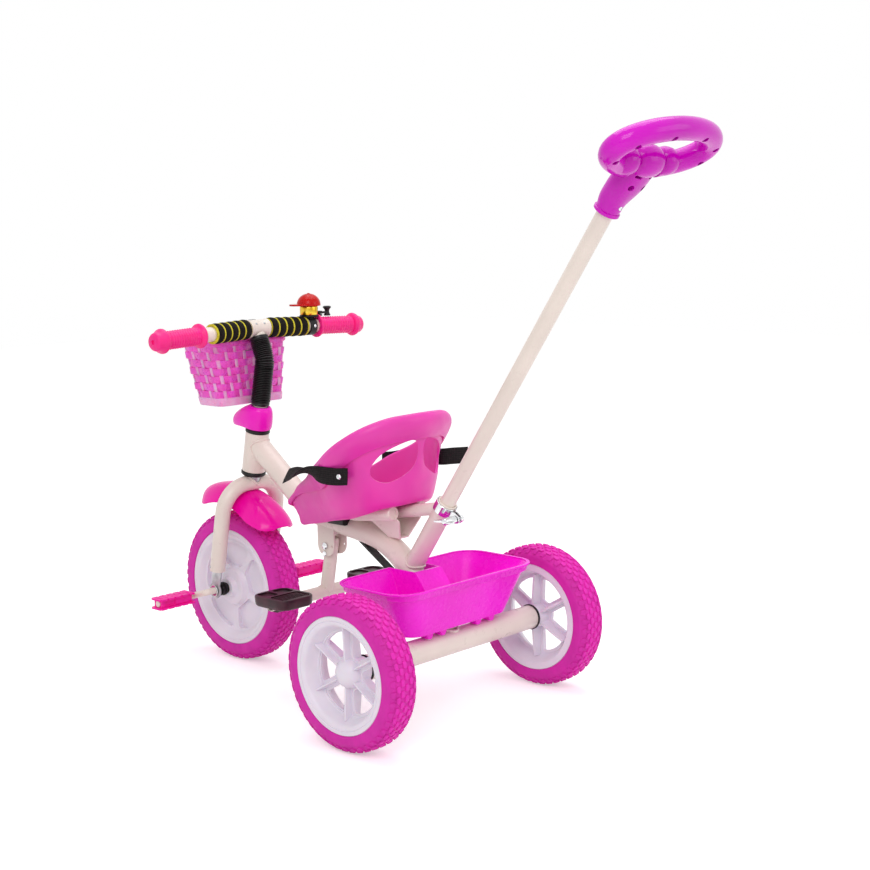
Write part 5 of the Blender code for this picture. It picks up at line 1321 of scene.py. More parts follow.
def build_bin():
    """The rear bin with its stepped rim, its recess round the main tube and its feet."""
    rim = 202.0
    floor = 132.0
    wall = 2.6
    # Each row is a level loop: back, front, half the width, corner radius and height
    rows = [
        (-13, 74, 99, 22, floor), (-15.4, 77.6, 102, 24.4, floor + 1.2), (-16, 79, 103, 25, floor + 3),
        (-30, 95, 133, 32, rim - 12), (-31, 96, 134, 32.6, rim - 11.6), (-33.5, 98.5, 137, 34, rim - 11.5),
        (-34.4, 99.4, 138, 34.6, rim - 10.6), (-36, 101, 140, 36, rim - 4),
        (-36.6, 101.6, 140.6, 36.4, rim - 3.2), (-38.4, 103.4, 142.4, 37.6, rim - 3),
        (-39, 104, 143, 38, rim - 2.2), (-39, 104, 143, 38, rim - 0.8), (-38.4, 103.4, 142.4, 37.6, rim),
    ]
    tub = skin([plate_ring(*row) for row in rows])
    rows = [
        (-13 + wall, 74 - wall, 99 - wall, 20, floor + wall),
        (-14.4 + wall, 76.4 - wall, 101.4 - wall, 21.5, floor + wall + 1.6), (-28, 93, 130.5, 30, rim - 12),
        (-29.2, 94.2, 132, 30.8, rim - 11.0), (-33, 98, 137, 34, rim - 3.5),
        (-34.2, 99.2, 138.2, 34.8, rim - 2.2), (-34.2, 99.2, 138.2, 34.8, rim + 6),
    ]
    hollow = skin([plate_ring(*row) for row in rows])
    # The recess is a sloping block, and the same block grown by the wall stays in the hollow
    slope = [(-25.5, 105.0), (74.0, 227.0), (190.0, 227.0), (190.0, 105.0)]
    thick = [(-29.5, 105.0), (70.0, 227.0), (190.0, 227.0), (190.0, 105.0)]
    hollow = carved(hollow, prism(thick, -24.0 - wall, 24.0 + wall))
    tub = carved(tub, hollow)
    tub = carved(tub, prism(slope, -24.0, 24.0))
    shifted(tub, BIN_BACK, 0.0, 0.0)
    piece("bin", tub, "bin", "frame", "rear_bin", bevel=0.8)
    feet = []
    for y in (58.0, 31.0, -42.0, -70.0):
        foot = outline([(y - 9, floor + 1.6), (y + 9, floor + 1.6), (y + 3, 122.9), (y - 3, 122.9)], 0.8, 2)
        feet.append(prism(foot, -7, 7, "x"))
    rib = outline(rectangle(-9, 70, floor + wall - 1, floor + wall + 1.0), 0.5, 2)
    feet += [prism(rib, y - 1.0, y + 1.0) for y in (-66.0, 66.0)]
    feet = shifted(joined(feet), BIN_BACK, 0.0, 0.0)
    piece("bin_feet", feet, "bin", "frame", bevel=0.5)


# Clamp, push pole and push handle


def build_clamp():
    """The chrome band round the socket's split end, with its wing screw."""
    place = pole(SOCKET_LENGTH - 9.0)
    inner = SOCKET_R + 0.3
    band = hoop([(inner, 6.9), (inner + 0.6, 7.5), (inner + 1.5, 7.5), (inner + 2.0, 7.0)], 64)
    band = placed(band, place, POLE_AXIS)
    hub = place + POLE_BACK * 26.0

    def slab(low, high, middle, half, corner):
        """A plate square to the screw, from its pairs along the back and the pole."""
        pairs = outline(rectangle(low[0], high[0], low[1], high[1]), corner, 5)
        rings = []
        for level in (middle - half, middle + half):
            rings.append([place + POLE_BACK * a + POLE_AXIS * b + LEFT * level for a, b in pairs])
        return skin(rings)

    for y in (3.2, -3.2):
        band = carved(band, slab((14.6, -6.5), (32.0, 6.5), y, 1.2, 5.0), "UNION")
    band = carved(band, slab((10.0, -9.0), (20.0, 9.0), 0.0, 1.9, 0.5))
    band = carved(band, crossbar(hub, 9, 3.3, 24))
    piece("clamp", band, "chrome", "frame", "clamp_band", bevel=0.4)

    profile = [
        (0, 28), (2.6, 27.8), (4.1, 27.2), (4.7, 26), (5.5, 16.5), (5.5, 5.6), (5.1, 5.2), (3.0, 5.2),
        (3.0, -5.0), (5.6, -5.0), (6.0, -5.5), (5.4, -8.6), (4.0, -9.7), (0, -10),
    ]
    screw = placed(turned(profile, 40), hub, LEFT)
    wings = []
    for way in (1, -1):
        pairs = outline([(2, 17.5), (13, 18.5), (18, 31), (10, 30.5), (2, 25)], 2.2, 5)
        wing = prism([(a * way, b) for a, b in pairs], -1.3, 1.3, "y")
        wings.append(placed(wing, hub, LEFT))
    screw = carved(screw, joined(wings), "UNION")
    piece("wing_screw", screw, "chrome", "clamp_screw_body", "clamp_screw", bevel=0.5)


def screw_heads(places, radius=3.0):
    """Small domed cross-head screws, each at a place and facing an axis."""
    profile = [(0.0, 0.5), (0.5, 0.42), (0.86, 0.2), (1.0, -0.1), (0.9, -0.5), (0.0, -0.5)]
    heads = []
    for place, axis in places:
        dome = turned([(r * radius, h * radius) for r, h in profile], 24)
        for turn in (0.0, math.pi / 2.0):
            slit = rectangle(-radius * 0.5, radius * 0.5, radius * 0.22, radius)
            slit = prism(slit, -radius * 0.1, radius * 0.1)
            bmesh.ops.transform(slit, matrix=Matrix.Rotation(turn, 4, "Z"), verts=slit.verts)
            dome = carved(dome, slit)
        heads.append(placed(dome, place, axis))
    return heads


def build_neck():
    """The neck on the pole's head: a moulded sleeve that widens into a barrel round the hinge."""
    hinge = HANDLE_HINGE
    waist = pole(626.0)
    path = smooth([pole(602.0), pole(611.0), waist, waist.lerp(hinge, 0.45), hinge], 6)
    # Half the width and half the depth at the same stops
    sizes = [(15.2, 15.2, 0.0), (16.0, 15.6, 0.0), (19.0, 17.0, 0.0), (24.8, 18.0, 0.0), (22.0, 15.0, 0.0)]
    sizes = smooth(sizes, 6)
    last = len(path) - 1
    rings = []
    for i, point in enumerate(path):
        ahead = (path[min(i + 1, last)] - path[max(i - 1, 0)]).normalized()
        second = ahead.cross(LEFT)
        ring = []
        for k in range(48):
            angle = math.tau * k / 48
            c = math.cos(angle)
            s = math.sin(angle)
            # The section grows squarer towards the hinge
            square = 1.0 + 0.10 * i / last * (1.0 - abs(abs(c) - abs(s)))
            ring.append(point + LEFT * (sizes[i].x * c * square) + second * (sizes[i].y * s * square))
        rings.append(ring)
    knob = mirrored([(0.0, 24.6), (9.0, 24.6), (14.0, 22.6), (17.6, 18.0), (20.0, 11.0), (21.0, 4.0)])
    neck = carved(skin(rings), placed(turned(knob, 56), hinge, LEFT), "UNION")
    lip = hoop([(11.8, 2.6), (16.2, 2.6), (17.4, 1.6)], 56)
    neck = carved(neck, placed(lip, pole(604.8), POLE_AXIS), "UNION")
    pairs = rectangle(hinge.x - 60, hinge.x + 70, hinge.z - 80, hinge.z + 60)
    ends = [prism(pairs, *sorted((25.2 * hand, 60.0 * hand))) for hand in HANDS]
    neck = carved(neck, joined(ends))
    neck = carved(neck, rod(pole(560.0), pole(POLE_HEAD + 0.4), 11.5, 56))
    # Screw wells down the neck's rear face, and slots above them
    wells = []
    heads = []
    for hand in HANDS:
        spot = pole(652.0) + LEFT * (12.0 * hand)
        wells.append(rod(spot + POLE_BACK * 13.6, spot + POLE_BACK * 40.0, 4.2, 32))
        heads.append((spot + POLE_BACK * 14.8, POLE_BACK))
    slot = outline(rectangle(-5, 5, -2, 2), 1.6)
    for hand in HANDS:
        spot = pole(669.0) + LEFT * (12.5 * hand)
        wells.append(sweep([spot + POLE_BACK * 9.0, spot + POLE_BACK * 40.0], slot, LEFT))
    neck = carved(neck, joined(wells))
    heads.append((pole(618.0) + POLE_BACK * 16.4, POLE_BACK))
    pin = crossbar(hinge, 43.0, 5.0, 32, 0.8)
    piece("neck", [neck, pin], "handle", "push_pole_body", "handle_neck", bevel=0.9)
    piece("screws_neck", screw_heads(heads), "chrome", "push_pole_body")


RING_MIDDLE = 28.0
RING_REACH = 41.0
RING_HALF = 91.0
KNUCKLE_START = 26.0
KNUCKLE_END = 56.6


def build_ring():
    """The ring that tilts on the neck, with a knuckle on each side of the neck's barrel."""
    hinge = HANDLE_HINGE
    rear = Vector((-math.cos(HANDLE_TILT), 0.0, math.sin(HANDLE_TILT)))
    normal = rear.cross(LEFT)

    def ring_point(degrees):
        """A point on the oval centreline, by its angle from the ring's far side."""
        angle = math.radians(degrees)
        reach = RING_MIDDLE + RING_REACH * math.cos(angle)
        return hinge + rear * reach + LEFT * (RING_HALF * math.sin(angle))

    ring = sweep([ring_point(-160.0 + 4.0 * k) for k in range(81)], circle(14.5, 40), normal)
    knuckle = [
        (0.0, KNUCKLE_START), (10.0, KNUCKLE_START), (14.2, 28.2), (17.0, 32.6), (18.0, 39.5), (17.2, 46.5),
        (14.8, 52.0), (11.4, 55.6), (8.6, KNUCKLE_END), (0.0, KNUCKLE_END),
    ]
    knuckles = [placed(turned(knuckle, 56), hinge, LEFT * hand) for hand in HANDS]
    ring = carved(ring, joined(knuckles), "UNION")
    gap = rectangle(hinge.x - 60, hinge.x + 60, hinge.z - 60, hinge.z + 60)
    ring = carved(ring, prism(gap, -KNUCKLE_START, KNUCKLE_START))
    ring = carved(ring, crossbar(hinge, 44, 5.6))
    # The dished end of each knuckle, and screw wells in the underside of the ring
    for hand in HANDS:
        end = hinge + LEFT * (KNUCKLE_END * hand)
        ring = carved(ring, rod(end - LEFT * (5.4 * hand), end + LEFT * (6.0 * hand), 7.4, 40))
    wells = []
    heads = []
    for degrees in (-107, -64, -21, 20, 62, 108):
        spot = ring_point(degrees)
        wells.append(rod(spot + normal * 10.5, spot + normal * 20.0, 4.4, 32))
        heads.append((spot + normal * 11.2, normal))
    ring = carved(ring, joined(wells))
    piece("ring", ring, "handle", "handle_ring_body", "handle_ring", bevel=0.8)
    piece("screws_ring", screw_heads(heads), "black", "handle_ring_body")


def build_push_handle():
    """The sliding pole, the neck on its head and the ring on the neck."""
    head = POLE_HEAD
    profile = [(0, head), (10.4, head), (11.0, head - 0.8), (11.0, 30.0), (9.6, 30.0), (9.6, 60.0), (0, 60.0)]
    shape = placed(turned(profile, 56), POLE_LOW, POLE_AXIS)
    piece("pole", shape, "paint", "push_pole_body", "push_pole")
    build_neck()
    build_ring()


# Footrest

# The fold's pivot, and the middle of the cross tube under the pads
FOLD = Vector((240.0, 0.0, 212.0))
FOOT = Vector((255.0, 0.0, 138.0))
FOOT_R = 9.5
PAD_X = 247.0
PAD_Y = 93.5


def build_footrest():
    """The footrest, its bracket under the main tube and its two pads."""
    bracket = from_node("footrest_bracket")
    piece("bracket_footrest", bracket, "paint", "frame", "footrest_bracket", bevel=0.5)
    bolts = []
    for x, z, reach, size in ((FOLD.x, FOLD.z, 17.4, 5.4), (241.5, 199.8, 16.8, 4.4)):
        shank = size * 0.55
        half = [(0.0, reach), (size * 0.7, reach - 0.2), (size, reach - 1.2), (size, 14.0), (shank, 14.0)]
        bolts.append(placed(turned(mirrored(half), 32), (x, 0.0, z), LEFT))
    nodes = ["footrest_pivot_bolt", "footrest_lock_pin"]
    piece("bolts_footrest", bolts, "chrome", "frame", *nodes, bevel=0.2)

    top = Vector((238.5, 0.0, 221.0))
    spine = (FOOT - top).normalized()
    oval = [(a * 9.6, b * 10.5) for a, b in circle(1.0, 44)]
    path = [top - spine * 2.5, top - spine * 1.6, top, top + spine * 6, FOOT - spine * 2]
    post = sweep(path, oval, LEFT, [0.72, 0.84, 0.94, 1.0, 1.0])
    post = carved(post, crossbar(FOOT, 30, FOOT_R + 0.3, 44))
    post = carved(post, crossbar(FOLD, 30, 3.3, 28))
    # The slot that the lock pin runs in as the footrest folds
    reach = math.hypot(1.5, 12.2)
    start = math.atan2(-12.2, 1.5)
    angles = [start + math.radians(-16 + 6 * k) for k in range(19)]
    path = [FOLD + Vector((reach * math.cos(angle), 0.0, reach * math.sin(angle))) for angle in angles]
    post = carved(post, sweep(path, rectangle(-15, 15, -3.2, 3.2), LEFT))
    piece("post_footrest", post, "paint", "footrest", "footrest_post", bevel=0.5)
    weld = bead((255.0, 0.0, 165.0), FOOT - top, 10.0, FOOT, LEFT, FOOT_R, 1.2)
    tube = placed(hoop([(7.9, 112.0), (9.1, 112.0), (FOOT_R, 111.5)], 48), FOOT, LEFT)
    piece("tube_footrest", [tube, weld], "paint", "footrest", "footrest_cross_tube")
    for name, hand in SIDES:
        build_pad(name, hand)


def build_pad(name, hand):
    """One footrest pad: a tray with three sunk panels, ribs and a boss under it for the tube."""
    middle = Vector((PAD_X, PAD_Y * hand, 0.0))
    pairs = outline(rectangle(-37, 37, -33.5, 33.5), 18.0, 10)
    rings = []
    for z, inset in ((137.0, 2.4), (138.6, 1.0), (142.0, 0.4), (149.6, 0.0), (151.2, 0.5), (152.0, 1.8)):
        shrink = 1.0 - inset / 36.0
        rings.append([middle + Vector((x * shrink, y * shrink, z)) for x, y in pairs])
    panels = []
    for sides in ((-31, 1.5, -27.5, 27.5), (5.5, 31, 2.5, 27.5), (5.5, 31, -27.5, -2.5)):
        panel = outline(rectangle(*sides), 7.0, 6)
        panels.append(prism([(PAD_X + x, (PAD_Y + y) * hand) for x, y in panel], 149.4, 156.0, "z"))
    pad = carved(skin(rings), joined(panels))
    hold = outline(rectangle(243, 267, 127.4, 141), 3.5, 5)
    pad = carved(pad, prism(hold, *sorted((72.0 * hand, 108.0 * hand))), "UNION")
    pad = carved(pad, rod(FOOT + LEFT * 50 * hand, FOOT + LEFT * 113 * hand, FOOT_R + 0.3, 44))
    under = rectangle(217, 240, 67 * hand, 120 * hand)
    pad = carved(pad, prism(under, 132.0, 146.0, "z"))
    bar = outline([(-0.9, 149.0), (0.9, 149.0), (0.7, 150.9), (-0.7, 150.9)], 0.3, 2)
    tread = repeated(prism(bar, -24.5, 24.5), 5, "footrest", 0.0, (5.6, 0.0, 0.0))
    shapes = [pad, shifted(tread, 221.5, PAD_Y * hand, 0.0)]
    piece("pad_" + name, shapes, "footrest", "footrest", "footrest_pad_" + name, bevel=0.7)


# Steering column and handlebar


def stem_path(low):
    """The stem's centreline, from inside the steerer up to the handlebar."""
    straight = [steer(0, 0, low), steer(0, 0, 345.0)]
    bend = [steer(0, 0, 358.0), steer(0.5, 0, 370.0), Vector((383.2, 0, 493.0)), Vector((388.4, 0, 506.0))]
    return smooth(straight + bend + [BAR_MIDDLE.copy()], 6)


def build_column():
    """Bearing rings, steering cap, stem and its ribbed hose."""
    rings = [
        (12.4, -7.0), (16.6, -7.0), (17.6, -6.4), (19.0, -5.0), (19.2, -4.0), (19.2, -1.2), (18.6, -0.3),
        (13.7, -0.3), (13.7, 9.0), (12.4, 9.0),
    ]
    ring = placed(turned(rings, 64, True), steer(0, 0, HEAD_LOW), STEER_UP)
    piece("bearing_lower", ring, "black", "frame", "headset_ring_lower")
    rings = [
        (12.4, -9.0), (13.7, -9.0), (13.7, 0.3), (18.6, 0.3), (19.1, 1.0), (19.0, 4.4), (17.6, 6.0),
        (12.4, 6.0),
    ]
    ring = placed(turned(rings, 64, True), steer(0, 0, HEAD_HIGH), STEER_UP)
    piece("bearing_upper", ring, "black", "frame", "headset_ring_upper")

    flat = steer(0, 0, HEAD_HIGH + 6.6)
    side = steer(1, 0, 0) - steer(0, 0, 0)
    # Height, radius and how far the front reaches out beyond it
    cover = [
        (0.0, 12.8, 0.0), (0.0, 19.8, 27.0), (0.8, 20.6, 28.6), (4.0, 21.2, 30.0), (8.0, 21.5, 30.6),
        (12.0, 21.6, 30.0), (16.0, 21.5, 28.2), (20.0, 21.2, 25.0), (24.0, 20.7, 20.0), (27.5, 20.1, 14.5),
        (30.5, 19.3, 9.0), (33.0, 18.0, 4.2), (34.8, 16.4, 1.2), (35.4, 15.0, 0.0), (35.4, 12.8, 0.0),
    ]
    rings = []
    for height, radius, reach in cover:
        ring = []
        for k in range(72):
            angle = math.tau * k / 72
            c = math.cos(angle)
            front = max(c, 0.0)
            s = math.sin(angle)
            wide = radius * math.copysign(abs(s) ** (1.0 - 0.3 * front * reach / 31.0), s)
            sunk = 0.26 * reach * front * front
            ring.append(flat + STEER_UP * (height - sunk) + side * (radius * c + reach * front) + LEFT * wide)
        rings.append(ring)
    cap = skin(rings, True)
    piece("cap_steering", cap, "cap", "steering", "steering_cap", bevel=0.7)

    stem = sweep(stem_path(225.0), circle(11.0, 40), LEFT)
    stem = carved(stem, crossbar(BAR_MIDDLE, 30, 14.4, 40))
    piece("tube_stem", stem, "paint", "steering", "stem_tube")

    ribs = bpy.context.scene.tricycle_sizes.hose_ribs
    line = evenly(stem_path(299.0), 400, False)
    line = [point for point in line if (point - BAR_MIDDLE).length > 14.2]
    path = evenly(line, ribs * 6 + 25, False)
    scales = []
    last = len(path) - 1
    for i in range(len(path)):
        if i < 12 or i > last - 12:
            end = min(i, last - i)
            scales.append((13.2, 13.9, 14.1)[min(end, 2)] if end < 10 else 13.4)
        else:
            scales.append((12.7, 13.3, 14.7, 15.0, 14.7, 13.3)[i % 6])
    hose = sweep(path, circle(1.0, 32), LEFT, scales)
    hose = carved(hose, crossbar(BAR_MIDDLE, 30, 14.8, 40))
    piece("hose", hose, "hose", "steering", "stem_hose", sharp=70.0)


def build_handlebar():
    """The bar with its sleeve, foams and grips."""
    ends = [bar_point(BAR_END.y, 1), bar_point(6.0, 1), bar_point(6.0, -1), bar_point(BAR_END.y, -1)]
    bar = sweep(ends, circle(BAR_R, 40), UP)
    piece("tube_bar", bar, "paint", "steering", "handlebar_tube")
    spots = (19.5, 18.9, 16.9, 15.9, 14.6, 8.0)
    stops = [bar_point(spot, 1) for spot in spots] + [BAR_MIDDLE.copy()]
    stops += [bar_point(spot, -1) for spot in reversed(spots)]
    radii = [13.7, 14.2, 14.2, 13.8, 13.1, 12.8]
    sleeve = sweep(stops, circle(1.0, 48), UP, radii + [12.8] + radii[::-1])
    piece("sleeve_bar", sleeve, "paint", "steering", "bar_sleeve")
    rivets = []
    axis = Vector((-0.8, 0.0, 0.6))
    for hand in HANDS:
        place = bar_point(8.0, hand) + axis * 12.6
        dome = turned([(0.0, 1.2), (1.2, 1.0), (1.9, 0.4), (2.1, -0.6), (0.0, -0.6)], 24)
        rivets.append(placed(dome, place, axis))
    piece("rivets_bar", rivets, "zinc", "steering")

    grooves = bpy.context.scene.tricycle_sizes.foam_grooves
    bands = grooves + 1
    pitch = (92.4 - 21.6) / bands
    for name, hand in SIDES:
        ahead = (bar_point(1, hand) - BAR_MIDDLE).normalized()
        profile = [(11.7, 0.0), (14.3, 0.0)]
        for k in range(9):
            t = k / 8.0
            profile.append((14.7 + 0.9 * math.sin(math.pi * t), 0.5 + (pitch - 3.6) * t))
        profile += [(14.3, pitch - 2.6), (11.7, pitch - 2.6)]
        band = repeated(turned(profile, 56, True), bands, "foam", 0.0, (0.0, 0.0, pitch))
        shifted(band, 0.0, 0.0, 22.2)
        band = placed(band, BAR_MIDDLE, ahead)
        piece("foam_bands_" + name, band, "foam", "steering", "foam_" + name)
        core = [
            (11.5, 21.6), (13.4, 21.6), (14.0, 22.0), (14.0, 90.6), (15.0, 91.2), (15.2, 92.4), (14.6, 93.2),
            (11.5, 93.2),
        ]
        core = placed(turned(core, 56, True), BAR_MIDDLE, ahead)
        ring = hoop([(13.6, 1.2), (14.6, 1.2), (15.0, 0.6)], 56)
        ring = repeated(ring, grooves, "yellow", 0.0, (0.0, 0.0, pitch))
        shifted(ring, 0.0, 0.0, 22.2 + pitch - 1.1)
        shapes = [core, placed(ring, BAR_MIDDLE, ahead)]
        piece("foam_core_" + name, shapes, "yellow", "steering")
        build_grip(name, ahead)


def build_grip(name, ahead):
    """One grip: two flanges, a shaft with fine ribs and a small hole in its end."""
    end = BAR_END.y
    # The bore, the inner flange, the ribbed shaft and the outer flange
    grip = [
        (0.0, end + 0.7), (11.6, end + 0.7), (11.6, 116.0), (16.8, 116.0), (18.0, 116.6), (18.5, 117.8),
        (18.3, 119.2), (17.5, 120.6), (14.2, 122.2), (13.1, 123.6),
    ]
    for k in range(13):
        middle = 127.0 + 4.8 * k
        grip += [(12.9, middle - 2.0), (13.5, middle - 1.2), (13.5, middle + 1.2), (12.9, middle + 2.0)]
    grip += [
        (13.2, 186.6), (15.2, 187.6), (17.5, 189.0), (18.4, 190.6), (18.5, 192.2), (17.6, 194.6),
        (16.0, 197.0), (14.6, 199.4), (13.9, 202.0), (13.2, 204.4), (11.8, 206.4), (9.0, 207.6),
        (3.4, 208.0), (3.0, 205.6), (0.0, 205.4),
    ]
    shape = turned(grip, 64)
    bead_row = turned([(0.0, 1.1), (0.9, 0.8), (1.3, 0.0), (0.0, 0.0)], 10)
    bead_row = placed(bead_row, (13.2, 0.0, 0.0), (1.0, 0.0, 0.0))
    column = repeated(bead_row, 13, "grip", 0.0, (0.0, 0.0, 4.8))
    shifted(column, 0.0, 0.0, 127.0)
    beads = repeated(column, 12, "grip", math.tau / 12)
    shapes = [placed(shape, BAR_MIDDLE, ahead), placed(beads, BAR_MIDDLE, ahead)]
    piece("handgrip_" + name, shapes, "grip", "steering", "grip_" + name, sharp=50.0)


BASKET_LOW = 416.5
BASKET_HIGH = 508.0
BASKET_WALL = 1.9


def wall_loop(z, count):
    """The middle line of the basket's wall at a height, evenly spaced, with its outward normals."""
    low = plate_ring(409.5, 468.0, 65.5, 12, BASKET_LOW)
    high = plate_ring(408.0, 497.0, 75.0, 17, BASKET_HIGH)
    t = (z - BASKET_LOW) / (BASKET_HIGH - BASKET_LOW)
    ring = evenly([a.lerp(b, t) for a, b in zip(low, high)], count)
    outs = [way_out(ring, i) for i in range(count)]
    return [point - out * BASKET_WALL for point, out in zip(ring, outs)], outs


def build_basket():
    """The woven basket: staves, rows that pass in front of and behind them, a rim and a base."""
    sizes = bpy.context.scene.tricycle_sizes
    staves = sizes.staves
    rows = sizes.weave_rows
    per = 8
    count = staves * per
    section = [
        (-0.7, -5.3), (0.7, -5.3), (0.95, -4.1), (0.95, 4.1), (0.7, 5.3), (-0.7, 5.3), (-0.95, 4.1),
        (-0.95, -4.1),
    ]
    shapes = []
    first = 431.0
    spacing = (502.0 - first) / (rows - 1)
    for row in range(rows):
        line, outs = wall_loop(first + spacing * row, count)
        rings = []
        for i in range(count):
            wave = 1.5 * math.cos(math.pi * i / per + math.pi * row)
            middle = line[i] + outs[i] * wave
            # The strips lean out with the wall
            rings.append([middle + outs[i] * (a + 0.14 * b) + UP * b for a, b in section])
        shapes.append(skin(rings, True))
    piece("basket_weave", shapes, "weave", "steering", "basket", sharp=60.0)

    pale = []
    heights = [414.6, 424.0, 440.0, 456.0, 472.0, 488.0, 504.0, 509.0]
    lines = [wall_loop(z, count) for z in heights]
    for k in range(staves):
        i = k * per
        rings = []
        for line, outs in lines:
            out = outs[i]
            aside = Vector((-out.y, out.x, 0.0))
            rings.append([line[i] + aside * a + out * b for a, b in circle(2.9, 12, 0.24)])
        pale.append(skin(rings))
    # The plain band at the foot of the wall, and the floor inside it
    band = [(413.4, 1.4), (414.2, 0.2), (418.0, 0.0), (425.2, 0.0), (426.0, 0.6), (426.0, 1.6), (424.0, 2.4)]
    band.append((416.0, 2.4))
    floor = [(413.6, 3.6), (413.6, 2.0), (416.4, 2.0), (416.4, 3.6)]
    for stops, closed in ((band, True), (floor, False)):
        rings = []
        for z, inset in stops:
            line, outs = wall_loop(z, count)
            rings.append([point + out * (BASKET_WALL - inset) for point, out in zip(line, outs)])
        pale.append(skin(rings, closed))
    piece("basket_staves", pale, "pale", "steering", sharp=50.0)
    line, outs = wall_loop(509.6, count)
    rings = []
    for i in range(count):
        # The rim swells a little over each stave
        full = 1.0 + 0.06 * math.cos(math.tau * i / per)
        rings.append([line[i] + outs[i] * (a * full + 0.4) + UP * b for a, b in circle(3.4, 16, 1.5)])
    rim = skin(rings, True)
    piece("basket_rim", rim, "weave", "steering", sharp=60.0)
    hanger = from_node("basket_hanger")
    piece("hanger_basket", hanger, "zinc", "steering", "basket_hanger", bevel=0.4)


def build_bell():
    """The bell on the right of the bar: base, brass drum, red cap and thumb lever."""
    place = bar_point(104.0, -1)
    ahead = (bar_point(1, -1) - BAR_MIDDLE).normalized()
    base = placed(hoop([(11.7, 6.0), (14.0, 6.0), (14.6, 5.4)], 56), place, ahead)
    neck = [
        (0.0, 11.0), (8.0, 11.0), (8.2, 13.0), (9.4, 14.4), (14.2, 15.0), (15.0, 15.4), (15.0, 16.8),
        (14.6, 17.2), (0.0, 17.2),
    ]
    base = carved(base, placed(turned(neck, 48), place, UP), "UNION")
    arm = outline(rectangle(place.x - 5, place.x + 5, place.y - 26, place.y - 6), 3.5, 6)
    base = carved(base, prism(arm, place.z + 14.6, place.z + 17.0, "z"), "UNION")
    hinge = Vector((place.x, place.y - 22.0, place.z + 20.4))
    base = carved(base, rod(hinge - UP * 7, hinge + UP * 3, 2.5, 24))
    piece("base_bell", base, "black", "steering", "bell_base", bevel=0.4)
    heads = ((-14.4, 0.6), (14.4, -1.0))
    heads = [(place + Vector((x, 0.0, z)), (math.copysign(1.0, x), 0.0, 0.0)) for x, z in heads]
    piece("screws_bell", screw_heads(heads, 2.6), "chrome", "steering")

    centre = place + Vector((0.0, 0.0, 17.6))
    drum = [
        (0.0, 0.0), (13.4, 0.0), (14.0, 0.4), (14.3, 1.2), (14.3, 12.6), (14.0, 13.4), (13.4, 13.8),
        (0.0, 13.8),
    ]
    piece("drum_bell", placed(turned(drum, 64), centre, UP), "brass", "steering", "bell_drum")
    top = centre + UP * 14.1
    shell = [(0.0, 0.0), (18.0, 0.0), (18.8, 0.5)]
    for k in range(14):
        angle = math.radians(90.0 * k / 13)
        shell.append((18.8 * math.cos(angle), 2.0 + 17.4 * math.sin(angle)))
    shell[-1] = (0.0, 19.4)
    cap = placed(turned(shell, 72), top, UP)
    visor = []
    for k in range(33):
        angle = math.radians(-62 + 124 * k / 32)
        visor.append((15.5 * math.sin(angle), 16.0 + 21.0 * math.cos(angle)))
    visor = [(-12.0, 6.0)] + visor + [(12.0, 6.0)]
    rings = []
    for z, shrink in ((1.0, 0.985), (1.6, 1.0), (3.0, 1.0), (3.6, 0.985)):
        rings.append([top + Vector((x * shrink, 6.0 + (y - 6.0) * shrink, z)) for x, y in visor])
    cap = carved(cap, skin(rings), "UNION")
    button = turned([(0.0, 20.3), (1.6, 20.1), (2.4, 19.5), (2.6, 18.4), (0.0, 18.4)], 24)
    cap = carved(cap, placed(button, top, UP), "UNION")
    piece("cap_bell", cap, "red", "steering", "bell_cap", bevel=0.5)

    lever = turned([(0, 2.0), (4.2, 2.0), (4.6, 1.6), (4.6, -2.6), (2.1, -2.6), (2.1, -5.2), (0, -5.2)], 36)
    lever = placed(lever, hinge, UP)
    tongue = [(-2.2, -2.0), (-1.7, -8.0), (-3.2, -14.5), (3.2, -14.5), (1.7, -8.0), (2.2, -2.0)]
    tongue = prism([(hinge.x + a, hinge.y + b) for a, b in tongue], hinge.z - 2.4, hinge.z + 0.8, "z")
    lever = carved(lever, tongue, "UNION")
    spool = [
        (0.0, 9.0), (4.6, 9.0), (6.4, 8.0), (6.6, 6.4), (4.0, 3.4), (3.4, 0.0), (4.4, -3.4), (5.6, -5.4),
        (4.8, -6.4), (0.0, -6.4),
    ]
    lever = carved(lever, placed(turned(spool, 40), hinge - LEFT * 17.0, UP), "UNION")
    piece("lever_bell", lever, "black", "bell_lever_body", "bell_lever", bevel=0.6)


# Studio

# The camera that was fitted to the photograph
CAMERA_PLACE = (-1.544467, 1.582665, 0.707570)
CAMERA_RIGHT = Vector((-0.73088826, -0.68225591, -0.01814446))
CAMERA_UP = Vector((0.08393296, -0.11623589, 0.98966887))
CAMERA_LENS = 65.27


def seen_rays(tree):
    """1 for rays from the camera or through gloss and glass, 0 for the light that falls on the pieces."""
    path = add_node(tree, "ShaderNodeLightPath").outputs
    links = {0: path["Is Camera Ray"], 1: path["Is Glossy Ray"]}
    seen = add_node(tree, "ShaderNodeMath", links, operation="MAXIMUM")
    links = {0: seen.outputs[0], 1: path["Is Transmission Ray"]}
    return add_node(tree, "ShaderNodeMath", links, operation="MAXIMUM").outputs[0]


